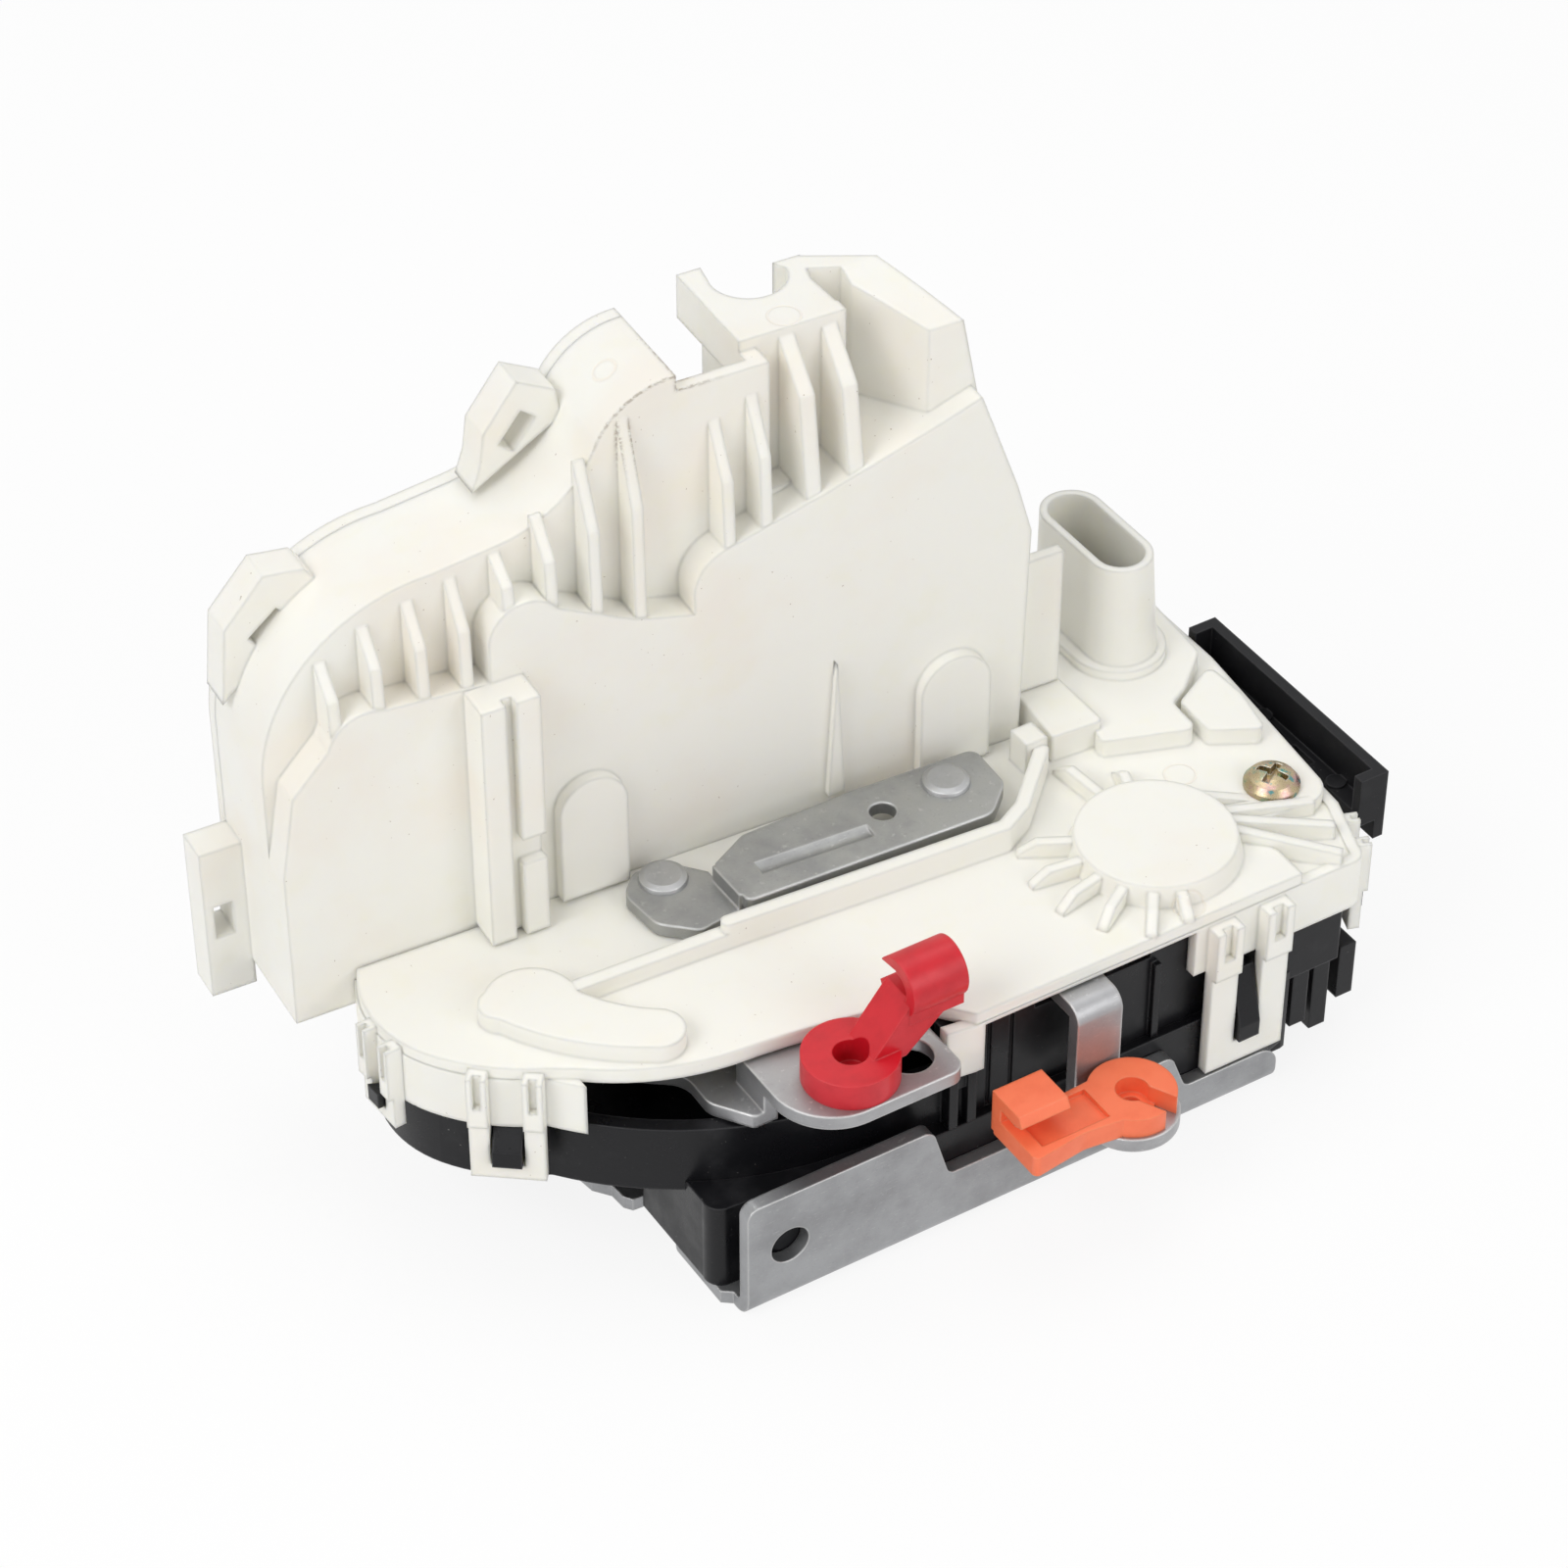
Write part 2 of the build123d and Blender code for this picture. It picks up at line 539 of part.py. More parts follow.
def deck_cover():
    """White moulded cover: deck, skirt, clips, disc boss, ribs and connector tower."""
    body = prism(cover_outline(), deck_bottom, deck_top)
    skirt = skirt_outline()
    inside = offset(skirt, -skirt_t)
    ring = prism(skirt - inside, skirt_bottom, deck_bottom + 0.5)
    ring -= box(window_left, window_right, -5, 40, 20, deck_top)
    ring -= box(36, 68.4, -5, 12, 20, deck_bottom)
    ring -= box(-40, 120, 52, 80, 20, deck_bottom)
    body += ring
    # lower terrace at the right front corner
    terrace = skirt & box2(terrace_left, 102, 0, terrace_back)
    body += prism(terrace, deck_bottom - deck_t, deck_bottom + 0.2)
    # front clips
    body += clip(*front_clip)
    body += clip(*left_clip)
    body += clip(*far_clip)
    body += clip(*right_clip)
    # disc boss with radial ribs
    body += Pos(disc_x, disc_y, deck_top - 0.2) * Cone(
        disc_r + 0.5, disc_r - 0.3, disc_h + 0.2, align=(Align.CENTER, Align.CENTER, Align.MIN))
    for turn, reach in [(151, 7), (172, 7), (192, 7), (212, 6.5), (233, 6), (252, 3.5),
                        (73, 5), (95, 9)]:
        body += spoke(disc_x, disc_y, turn, disc_r - 1, disc_r + reach, 1.5, disc_h - 0.7)
    # tapered ribs from the disc to the right edge, two of them standing on the terrace
    for start, tip in [((81.4, 20.4), (88.3, 17.9)), ((81.0, 16.4), (95.2, 13.0)),
                       ((81.0, 15.0), (94.7, 7.6)), ((80.6, 13.4), (92.2, 2.6))]:
        body += slope_rib(start, tip, 1.5)
    # long rib in front of the pivot bridge, stepped up beside the bridge's raised end
    body += rib(-6.0, 30.6, rib_bend_x, rib_bend_y, 2.0, deck_top - 0.3, deck_top + low_rib_h)
    rib_path = [(rib_bend_x, rib_bend_y), (55.4, 26.4), (59.6, 28.6), (68.0, 36.6)]
    for (x0, y0), (x1, y1) in zip(rib_path, rib_path[1:]):
        body += rib(x0, y0, x1, y1, 2.0, deck_top - 0.3, deck_top + high_rib_h)
    # kidney-shaped pad
    pad = profile(
        (-16.6, 35.4), ((-9.2, 36.2), (-6.6, 29.6)), ((-3.6, 25.0), (0.0, 21.6)),
        ((1.2, 16.2), (-4.0, 15.8)), ((-11.0, 21.2), (-17.4, 30.2)),
        ((-18.6, 33.4), (-16.6, 35.4)))
    body += prism(pad, deck_top - 0.2, deck_top + 2.6)
    # raised blocks between the wall and the tower
    body += box(66.0, 69.4, 37.2, 41.0, deck_top - 0.2, deck_top + 5.0)
    body += prism(rounded([(70.4, 37.6), (78.2, 37.0), (78.2, plate_back), (73.8, plate_back)],
                          [0.2, 0.8, 0.2, 0.2]), deck_top - 0.2, platform_top + 1.4)
    platform = rounded(
        [(77.6, plate_back), (77.4, 38.5), (76.4, 34.8), (88.9, 30.3), (89.3, 36.6), (92.5, 38.2),
         (98.6, 43.5), (100.6, plate_back)],
        [0, 0.3, 1.0, 1.2, 1.5, 1.0, 1.5, 0.3])
    body += prism(platform, deck_top - 0.2, platform_top)
    body += prism(rounded([(90.0, 29.5), (96.8, 25.7), (98.4, 33.6), (98.2, 40.6), (90.4, 36.4)],
                          [0.8, 1, 1, 1, 0.8]), deck_top - 0.2, platform_top - 0.2)
    # tower on its base ring
    ring_plan = stadium(tower_x + 0.6, tower_y, tower_w + 4.6, tower_l + 3.6)
    body += prism(ring_plan, deck_top - 0.2, platform_top + 1.4)
    body += loft([
        Pos(0, 0, platform_top) * stadium(
            tower_x + tower_draft, tower_y, tower_w + 2 * tower_draft, tower_l + 2 * tower_draft),
        Pos(0, 0, tower_top) * stadium(tower_x, tower_y, tower_w, tower_l)])
    socket = stadium(tower_x, tower_y, tower_w - 2 * tower_wall, tower_l - 2 * tower_wall)
    body -= prism(socket, deck_top - 1, tower_top + 1)
    for x, y in blade_places():
        body -= box(x - blade_t / 2 - 0.1, x + blade_t / 2 + 0.1,
                    y - blade_w / 2 - 0.1, y + blade_w / 2 + 0.1, deck_bottom - 1, deck_top)
    for x, y in [(fork_x, fork_y), (pawl_x, pawl_y)]:
        body -= post(x, y, pin_d / 2 + slide_gap, 0, 60)
    body -= post(screw_x, screw_y, screw_d / 2 + slide_gap, 20, 60)
    # slot for the lock slider
    body -= CASE_PLACE * box(*slider_column(0.4, 0, 60))
    return body


# ---------------------------------------------------------------- release levers and clips
def inside_release_lever():
    """Bent steel lever on the fork pin; its front tab carries the red rod clip."""
    z0 = inside_lever_z
    arm = rounded(
        [(fork_x - 8.5, fork_y), (-8.4, 29.0), (-8.2, 26.6), (2.2, 18.4), (2.0, 12.6),
         (5.6, 7.4), (tab_left + lever_t, 7.4), (tab_left + lever_t, 14.5), (fork_x + 8, fork_y - 5)],
        [0, 1, 1, 4, 3, 1, 0, 5, 0],
    )
    arm += Pos(fork_x, fork_y) * Circle(9)
    body = prism(arm, z0, z0 + lever_t)
    body += box(tab_left, tab_left + lever_t, 7.4, 14.0, z0, inside_tab_z + lever_t)
    tab = rounded(
        [(tab_left, 14.0), (tab_left, -3.2), (window_right - 0.6, -3.2), (window_right - 0.6, 6.6),
         (21.5, 14.0)],
        [1, 8.5, 2, 2, 2],
    )
    body += prism(tab, inside_tab_z, inside_tab_z + lever_t)
    body -= post(red_ring_x, red_ring_y, clip_hole_r, 0, 60)
    body -= post(red_ring_x + 8.0, red_ring_y - 0.9, 3.2, 28, 60)
    body -= post(fork_x, fork_y, pin_d / 2 + running_gap, 0, 60)
    # finger that reaches the pawl's post after its free travel
    finger = rounded(
        [(fork_x + 4, fork_y - 6), (fork_x + 16.5, fork_y - 10.9), (release_x + 2.5, release_y + 7.2),
         (release_x + 2.5, release_y + 11), (fork_x + 8, fork_y)],
        [0, 2, 1, 1, 0],
    )
    # tail that the lock slider's foot blocks
    tail = rounded(
        [(fork_x - 4, fork_y - 3), (fork_x - 16.4, fork_y + 5.4), (fork_x - 16.4, fork_y + 8.9),
         (fork_x - 12.8, fork_y + 8.7), (fork_x, fork_y + 5)],
        [0, 1, 1, 1, 0],
    )
    reach = prism(finger, z0, z0 + lever_t) + prism(tail, z0, z0 + lever_t)
    return body + (reach - post(fork_x, fork_y, 6, 0, 60))


def outside_release_lever():
    """Steel strip lever on the pawl pin, bent down and out to a round clip foot."""
    z0 = outside_lever_z
    x0, x1 = orange_x - 4.4, orange_x + 2.4
    arm = rounded(
        [(pawl_x - 8.5, pawl_y), (x0, 22), (x0, strip_y), (x1, strip_y), (x1, 22), (pawl_x + 8.5, pawl_y)],
        [0, 6, 0, 0, 6, 0],
    )
    arm += Pos(pawl_x, pawl_y) * Circle(9)
    finger = rounded(
        [(pawl_x - 5.2, pawl_y + 2.0), (pawl_x - 19.2, pawl_y - 3.4), (pawl_x - 18.1, pawl_y - 7.3),
         (pawl_x - 3.7, pawl_y - 6.0)],
        [0, 1.2, 1.2, 0],
    )
    body = prism(arm + finger, z0, z0 + lever_t)
    body += box(x0, x1, strip_y, strip_y + lever_t, outside_foot_z, z0 + lever_t)
    foot = Pos(orange_x, orange_y) * Circle(washer_d / 2) + box2(x0, x1, orange_y, strip_y + lever_t)
    body += prism(foot, outside_foot_z, outside_foot_z + lever_t)
    outer = body.edges().filter_by(Axis.X).filter_by_position(Axis.Y, strip_y - 0.01, strip_y + 0.01)
    body = fillet(outer.group_by(Axis.Z)[-1], 2.4)
    body -= post(orange_x, orange_y, clip_hole_r, 0, 60)
    body -= post(pawl_x, pawl_y, pin_d / 2 + running_gap, 0, 60)
    return body


def split_post(x, y, z_top, z_bottom):
    """Split snap post with a barbed tip, hanging below a rod clip."""
    shank = turned(
        (1.3, z_top), (clip_hole_r - running_gap, z_top), (clip_hole_r - running_gap, z_bottom + 2.4),
        (clip_hole_r + 0.6, z_bottom + 1.6), (clip_hole_r - 0.6, z_bottom), (1.3, z_bottom))
    shank = Pos(x, y, 0) * shank
    shank -= box(x - 0.5, x + 0.5, y - 6, y + 6, z_bottom - 1, z_top - 2.4)
    return shank


def red_rod_clip():
    """Rod clip: ring on the lever's tab, sloping arm and open saddle for the rod."""
    z0 = inside_tab_z + lever_t
    x, y = red_ring_x, red_ring_y
    body = post(x, y, red_ring_d / 2, z0, z0 + ring_h)
    side = make_face(Polyline(
        (x + 1.5, z0 + ring_h - 1.4), (x + 6.3, z0 + ring_h - 1.4), (x + 14.0, rod_z - 2.2),
        (x + 14.0, rod_z - 0.8), (x + 7.0, rod_z - 0.8), (x + 1.5, z0 + ring_h), close=True))
    body += upright(side, y - 2.9, y + 2.9)
    reach = rod_d / 2
    hook = Circle(reach + saddle_t) - Circle(reach + 0.1)
    hook -= Pos(5, 0) * (Rot(0, 0, -8) * Rectangle(10, 3.4))
    hook += box2(-3.0, 3.0, -reach - saddle_t - 0.2, -reach - 0.3)
    body += Pos(0, y, rod_z) * along_x(hook, x + 6.6, x + 14.6)
    body -= post(x, y, rod_d / 2 + 0.3, z0 - 1, rod_z)
    body += split_post(x, y, z0 + 0.4, z0 - lever_t - 3.6)
    body -= post(x, y, 1.3, z0 - 8, z0 + 1)
    return body


def orange_rod_clip():
    """Flat rod clip: open snap ring on the foot, arm and folded saddle at its left."""
    z0 = outside_foot_z + lever_t
    x, y = orange_x, orange_y
    plan = Pos(x, y) * Circle(orange_ring_r)
    plan += rounded([(x, y - 4.6), (x, y + 4.4), (x - 8.4, y + 3.9), (x - 11.0, y + 5.6),
                     (x - 17.6, y + 5.6), (x - 17.6, y - 4.4), (x - 9.6, y - 3.4)],
                    [0, 0, 2, 1, 0.8, 0.8, 4])
    plan -= Pos(x, y) * Circle(rod_d / 2 + 0.2)
    plan -= Pos(x, y) * (Rot(0, 0, -62) * box2(0, 12, -1.5, 1.5))
    body = prism(plan, z0, z0 + 3.0)
    body -= box(x - 15.5, x - 5.2, y - 2.6, y + 3.2, z0 + 2.2, z0 + 4)
    section = make_face(Polyline(
        (y + 5.6, z0 + 0.5), (y + 5.6, z0 + 7.0), (y - 0.2, z0 + 7.0), (y - 1.0, z0 + 5.6),
        (y + 0.4, z0 + 5.0), (y + 3.6, z0 + 5.2), (y + 3.8, z0 + 0.5), close=True))
    body += along_x(section, x - 17.6, x - 10.2)
    body += split_post(x, y, z0 + 0.4, z0 - lever_t - 3.4)
    body -= post(x, y, 1.3, z0 - 8, z0 + 1)
    return body


# ---------------------------------------------------------------- springs, stop, switches
def coil(x, y, z0, mean_r, wire_d, turns, legs):
    """Torsion spring: helical coil with two straight legs."""
    pitch = wire_d + 0.25
    height = pitch * turns
    path = Helix(pitch, height, mean_r)
    start = path.position_at(0)
    end = path.position_at(1)
    wire = RegularPolygon(wire_d / 2, 4)
    body = sweep(Plane(start, z_dir=path.tangent_at(0)) * wire, path=path, is_frenet=True)
    body += extrude(Plane(start, z_dir=-path.tangent_at(0)) * wire, legs[0])
    body += extrude(Plane(end, z_dir=path.tangent_at(1)) * wire, legs[1])
    return Pos(x, y, z0 + wire_d / 2) * body


def buffer_limits(gap):
    """Limits of the rubber stop at the closed end of the striker's channel."""
    return (mouth_x - 5.5 - gap, mouth_x + 5.5 + gap, mouth_end_y - 3.0 - gap, mouth_end_y + 0.8 + gap,
            pocket_top + 0.9 - gap, tray_bottom - 0.4 + gap)


def striker_buffer():
    """Rubber stop that the striker meets."""
    block = box(*buffer_limits(0))
    return fillet(block.edges().filter_by(Axis.Z), 1.2)


def switch(x, y, z, turn):
    """Microswitch: body, plunger and two terminals."""
    body = box(-6.4, 6.4, -2.9, 2.9, 0, 6.5)
    for px in (-3.2, 3.2):
        body -= post(px, 0, 1.1, -1, 8)
    body += box(1.0, 2.6, 2.9, 3.7, 2.2, 4.2)
    for px in (-4.6, 4.0):
        body += box(px, px + 0.6, -5.2, -2.9, 2.4, 4.2)
    return Location((x, y, z), (0, 0, turn)) * body


def cover_screw():
    """Cross-recess pan-head screw that holds the cover."""
    seat = deck_top
    screw = turned(
        (0, seat - screw_l), (screw_d / 2 - 0.9, seat - screw_l), (screw_d / 2 - 0.05, seat - screw_l + 2),
        (screw_d / 2 - 0.05, seat), (screw_head_d / 2, seat), (screw_head_d / 2, seat + 0.7),
        (screw_head_d / 2 - 0.7, seat + 1.6), (screw_head_d / 2 - 2.0, seat + 2.2), (0, seat + 2.4))
    slot = box(-2.2, 2.2, -0.5, 0.5, seat + 1.1, seat + 3)
    screw -= Rot(0, 0, 28) * (slot + Rot(0, 0, 90) * slot)
    return Pos(screw_x, screw_y, 0) * screw


# ---------------------------------------------------------------- connector
def blade_places():
    """Places of the connector's blades: one row of six."""
    return [(tower_x, tower_y + blade_pitch * (i - 2.5)) for i in range(6)]


board_top = deck_bottom - 0.2


def contact_board():
    """Moulded carrier for the blades, fixed under the cover below the tower."""
    body = box(tower_x - 6, tower_x + 6, tower_y - 8.8, tower_y + 8.8, board_top - 2, board_top)
    for x, y in blade_places():
        body -= box(x - blade_t / 2, x + blade_t / 2, y - blade_w / 2, y + blade_w / 2, 20, 40)
    return body


def connector_blades():
    """Six tinned blades standing in the tower."""
    blades = []
    for x, y in blade_places():
        blades.append(box(x - blade_t / 2, x + blade_t / 2, y - blade_w / 2, y + blade_w / 2,
                          board_top - 2, tower_top - 6))
    return Compound(blades)


def side_channel():
    """Black guide channel clipped along the right side."""
    x0, x1 = 102.0, 106.4
    y0, y1 = 11.5, 50.4
    floor_z = 29.2
    body = box(x0, x1, y0, y1, floor_z - 2.0, floor_z)
    body += box(x1 - 1.6, x1, y0, y1, floor_z - 2.0, 35.0)
    for y in (y0, y1 - 1.6):
        body += box(x0, x1, y, y + 1.6, floor_z - 2.0, 35.0)
    body += box(x1 - 1.6, x1, y0, y0 + 5.5, 24.0, floor_z)
    for y in (45.5, 35.0, 18.5):
        body += post(x0 + 1.5, y, 1.4, floor_z - 0.2, floor_z + 0.5)
    body -= box(x0 + 0.3, x0 + 1.7, 23.5, 28.0, floor_z - 3, floor_z + 1)
    return body


# ---------------------------------------------------------------- actuator case
def case_front_face():
    """Front outline of the case below its stepped shelf, in the case's own frame."""
    return profile(
        (-9.8, case_foot_z), (case_step, case_foot_z), (case_step, deck_top), (95.4, deck_top),
        (96.2, 68), (93.9, 75.9), (88.2, 91.6), (81.6, 89.3), (66.3, 84.6), (52.5, 80.9),
        ((48.6, 78.6), (47.4, 74.1)), (47.4, 72.2), (39.3, 74.5), (28.6, 80.2),
        ((21.6, 81.8), (19.2, 77.4)), (19.2, 72.0), (5, 73.2), ((0.4, 73.2), (-2.6, 69.6)),
        (-7.8, 64.0), (-9.8, 52),
    )


def case_roof_face():
    """Outline of the recessed upper part, up to the curved roof."""
    return profile(
        (-9.8, case_foot_z), (case_step, case_foot_z), (case_step, deck_top), (95, deck_top),
        (95.4, 70), (92.5, 76), (90, 87.4), (60.4, 84), (60.4, 103.4), (47.6, 103.4),
        (47.6, 105.6), ((41.6, 104.2), (36.8, 99.6)),
        ((31.0, 92.0), (23, 88.8)), (14, 87.6), ((-2.8, 80.6), (-9.8, 64)),
    )


def slider_column(gap, z0, z1):
    """Limits of the lock slider's lower column in the case's frame."""
    return (slider_s - gap, slider_s + slider_w + gap,
            pinion_dep - gap, pinion_dep + pinion_t + gap, z0, z1)


def actuator_case():
    """Upright moulded case for the locking drive, open at the back."""
    body = upright(case_front_face(), 0, case_depth)
    body += upright(case_roof_face(), recess_depth, case_depth)
    inner = offset(case_front_face(), -case_wall)
    body -= upright(inner, case_wall, case_depth + 1)
    inner_roof = offset(case_roof_face(), -case_wall)
    body -= upright(inner_roof, recess_depth + case_wall, case_depth + 1)
    # open pocket between the roof's end and the cable platform
    body += box(46.0, 60.4, recess_depth + 1, case_depth, pocket_floor - case_wall, pocket_floor)
    body += box(roof_end - case_wall, roof_end, recess_depth + 1, case_depth, pocket_floor, 104.4)
    body -= box(roof_end, 58.0, recess_depth + case_wall, 40, pocket_floor, 110)
    # tapered fins standing on the shelf
    for s, z0, z1 in [(-1.2, 70.0, 80.0), (4.6, 72.6, 83.4), (10.6, 72.2, 85.0), (16.4, 71.4, 86.4),
                      (22.4, 80.6, 88.0), (28.2, 79.6, 91.5), (34.2, 76.4, 97.5), (40.2, 73.6, 102.0)]:
        gusset = make_face(Polyline(
            (recess_depth + 0.5, z0), (0.4, z0), (0.8, z0 + 0.6 * (z1 - z0)), (recess_depth, z1),
            (recess_depth + 0.5, z1), close=True))
        body += along_x(gusset, s - 0.8, s + 0.8)
    for s, z0, z1 in [(52.6, 79.5, 97.5), (57.8, 81.2, 99.5)]:
        gusset = make_face(Polyline(
            (recess_depth + 0.5, z0), (0.2, z0), (0.8, z0 + 0.6 * (z1 - z0)), (recess_depth, z1),
            (recess_depth + 0.5, z1), close=True))
        body += along_x(gusset, s - 0.8, s + 0.8)
    # hooked platform for a cable end, above the shelf's right half
    deep = recess_depth + 3.5
    body += box(58, 73, deep, deep + 2.2, 82, 105)
    platform = profile(
        (58, deep), (72.9, deep), (72.4, 16), (73.7, 21.3), (69.8, 21.3), (70.8, 19.6),
        ((65.5, 15.2), (60.9, 21.5)), (61.4, 24.6), (58, 24.6))
    body += prism(platform, 98.6, 105)
    shelf = profile(
        (59.5, deep), (72.8, deep), (72.8, 19), (70.8, 19.6), ((65.5, 15.2), (60.9, 21.5)),
        (59.5, 21.5))
    body += prism(shelf, 86, 89.5)
    for s, z0, z1 in [(64.6, 83.6, 104.0), (70.6, 85.6, 103.6)]:
        fin = make_face(Polyline(
            (deep + 0.5, z0), (0.6, z0), (2.6, z1 - 6), (deep, z1), (deep + 0.5, z1), close=True))
        body += along_x(fin, s - 1.1, s + 1.1)
    # sloping end wall, with a pocket between it and the platform
    end_wall = loft([
        Pos(0, 0, 84) * make_face(Polyline(
            (72.6, 18.4), (76.9, 16.5), (76.7, 13.4), (78.2, 10.7), (82, 3), (90.4, 3),
            (90.4, 17.5), (73.2, 21.3), close=True)),
        Pos(0, 0, 105) * make_face(Polyline(
            (72.6, 18.4), (76.9, 16.5), (76.7, 13.4), (78.2, 10.7), (82, 3), (86.3, 3),
            (82.1, 16.6), (73.2, 21.3), close=True))])
    slope = make_face(Polyline((2, 101.6), (16.6, 105), (16.6, 106), (2, 106), close=True))
    body += end_wall - along_x(slope, 72, 92)
    # guide bar, oval pads and a pointed rib on the front face
    bar = box(15.5, 23.6, -5.0, 0.3, 34.4, 72) - box(18.9, 20.3, -6, -3.4, 34, 73)
    bar -= box(20.3, 24, -6, -3.4, 46, 50)
    body += bar
    for s0, s1, z1 in [(27, 36.6, 53), (79.4, 89.8, 52.6)]:
        pad = profile((s0, deck_top + 0.5), (s1, deck_top + 0.5), (s1, z1 - 5),
                      (((s0 + s1) / 2, z1), (s0, z1 - 5)))
        body += upright(pad, -1.8, 0.3)
    body += upright(make_face(Polyline((66, 36), (68.4, 36), (67.2, 57.6), close=True)), -1.2, 0.3)
    # flat rib at the right end, beside the tower
    body += box(94.6, 103.3, 3.2, 4.8, 38.4, 60)
    # snap tabs with windows along the back edge
    tabs = [
        ([(-10.4, 70), (-9.4, 81.0), (-3.8, 87.4), (1.6, 86.6), (3.5, 84)], (-3.6, 79.5, 40)),
        ([(24.2, 90), (25.4, 93.4), (26, 98), (30.8, 104.4), (36, 101.6), (36.5, 97.5)], (30.6, 97.2, 52)),
        ([(-15.6, 24), (-15.6, 47.6), (-9.5, 47.6), (-9.5, 24)], (-13.0, 36.0, 90)),
    ]
    for corners, (ws, wz, turn) in tabs:
        tab = upright(make_face(Polyline(*corners, close=True)), case_depth - 5, case_depth)
        hole = Location((ws, 0, wz), (0, -turn, 0)) * Box(5.2, 60, 2.6)
        body += tab - hole
    body -= box(*slider_column(0.4, deck_top - 1, 37))
    # boss for the worm wheel's axle
    boss = Pos(wheel_s, case_wall - 0.2, wheel_z) * (Rot(-90, 0, 0) * Cylinder(
        axle_d / 2 + 1.8, pinion_dep - case_wall - slide_gap + 0.2, align=(Align.CENTER, Align.CENTER, Align.MIN)))
    body += boss
    # guides beside the lock slider
    for z in (38.5, 70.0):
        s0 = slider_s + slider_w + 0.1
        body += box(s0, s0 + 0.9, case_wall - 0.1, pinion_dep + pinion_t, z, z + 4)
    body -= Pos(wheel_s, case_wall, wheel_z) * (Rot(-90, 0, 0) * Cylinder(
        axle_d / 2, 20, align=(Align.CENTER, Align.CENTER, Align.MIN)))
    return CASE_PLACE * body


def actuator_back_cover():
    """Back shell of the actuator case."""
    face = case_roof_face() + case_front_face()
    body = upright(face, case_depth, case_depth + back_cover_t)
    body -= box(roof_end, 96, case_depth - 1, 40, pocket_floor - case_wall, 110)
    return CASE_PLACE * body


# ---------------------------------------------------------------- locking drive
def gear_face(pitch_r, teeth, phase, backlash):
    """Gear outline: straight-sided teeth; one tooth points at the phase angle."""
    step = 360 / teeth
    add, ded = gear_module, 1.2 * gear_module
    points = []
    for i in range(teeth):
        mid = phase + i * step
        for share, r in [(-0.36, pitch_r - ded), (-0.14, pitch_r + add),
                         (0.14, pitch_r + add), (0.36, pitch_r - ded)]:
            a = radians(mid + step * share * (1 - backlash))
            points.append((r * cos(a), r * sin(a)))
    return make_face(Polyline(*points, close=True))


wheel_pitch_r = gear_module * wheel_teeth / 2
pinion_pitch_r = gear_module * pinion_teeth / 2
worm_lead = pi * gear_module
worm_z = wheel_z - wheel_pitch_r - worm_pitch_r
drive_dep = wheel_dep + wheel_t / 2
worm_phase = 360 * ((-worm_l / 2) % worm_lead / worm_lead - 0.5)
slider_s = wheel_s + pinion_pitch_r + gear_module + 0.2


def worm_wheel():
    """Moulded worm wheel with the rack's pinion on its front."""
    back = wheel_dep + wheel_t
    wheel = upright(gear_face(wheel_pitch_r, wheel_teeth, -90, 0.12), wheel_dep, back)
    for i in range(5):
        hole = Rot(0, 0, 72 * i) * (Pos(9.0, 0) * Circle(2.2))
        wheel -= upright(hole, wheel_dep + 1.5, back + 1)
    hub = upright(Circle(axle_d / 2 + 2.4), pinion_dep, back + 3.6)
    pinion = upright(gear_face(pinion_pitch_r, pinion_teeth, 0, 0.12),
                     pinion_dep, pinion_dep + pinion_t + 0.4)
    body = wheel + hub + pinion
    body -= upright(Circle(axle_d / 2 + running_gap), 0, 40)
    return CASE_PLACE * (Pos(wheel_s, 0, wheel_z) * body)


def wheel_axle():
    """Steel axle of the worm wheel, held by the case and its back cover."""
    z0 = case_wall
    axle = upright(Circle(axle_d / 2), z0, case_depth)
    return CASE_PLACE * (Pos(wheel_s, 0, wheel_z) * axle)


def motor():
    """Flat-sided motor can with its end cap and terminals."""
    can = along_x(rounded(
        [(-motor_d / 2, -motor_w / 2), (motor_d / 2, -motor_w / 2), (motor_d / 2, motor_w / 2),
         (-motor_d / 2, motor_w / 2)], [5] * 4), 0, motor_l)
    can += along_x(Circle(3.0), -1.4, 0)
    for z in (-5.5, 4.9):
        can += box(motor_l, motor_l + 2.6, -3.6, -1.2, z, z + 0.6)
    can -= along_x(Circle(1.0 + running_gap), -2, 8)
    return CASE_PLACE * (Pos(motor_s, drive_dep, worm_z) * can)


def worm():
    """Worm on the motor's shaft."""
    s0 = wheel_s - worm_l / 2
    path = Helix(worm_lead, worm_l - worm_lead, worm_pitch_r - 1.0)
    start = path.position_at(0)
    tooth = make_face(Polyline((-0.2, -0.62), (1.8, -0.24), (1.8, 0.24), (-0.2, 0.62), close=True))
    plane = Plane(start, x_dir=(1, 0, 0), z_dir=(0, -1, 0))
    thread = sweep(plane * tooth, path=path, is_frenet=True)
    core = Cylinder(worm_pitch_r - 0.95, worm_l, align=(Align.CENTER, Align.CENTER, Align.MIN))
    turned_worm = core + Pos(0, 0, worm_lead / 2) * thread
    lying = Pos(s0, 0, 0) * (Rot(0, 90, 0) * (Rot(0, 0, worm_phase) * turned_worm))
    lying += along_x(Circle(1.0), s0 - 1.0, motor_s + 7)
    return CASE_PLACE * (Pos(0, drive_dep, worm_z) * lying)


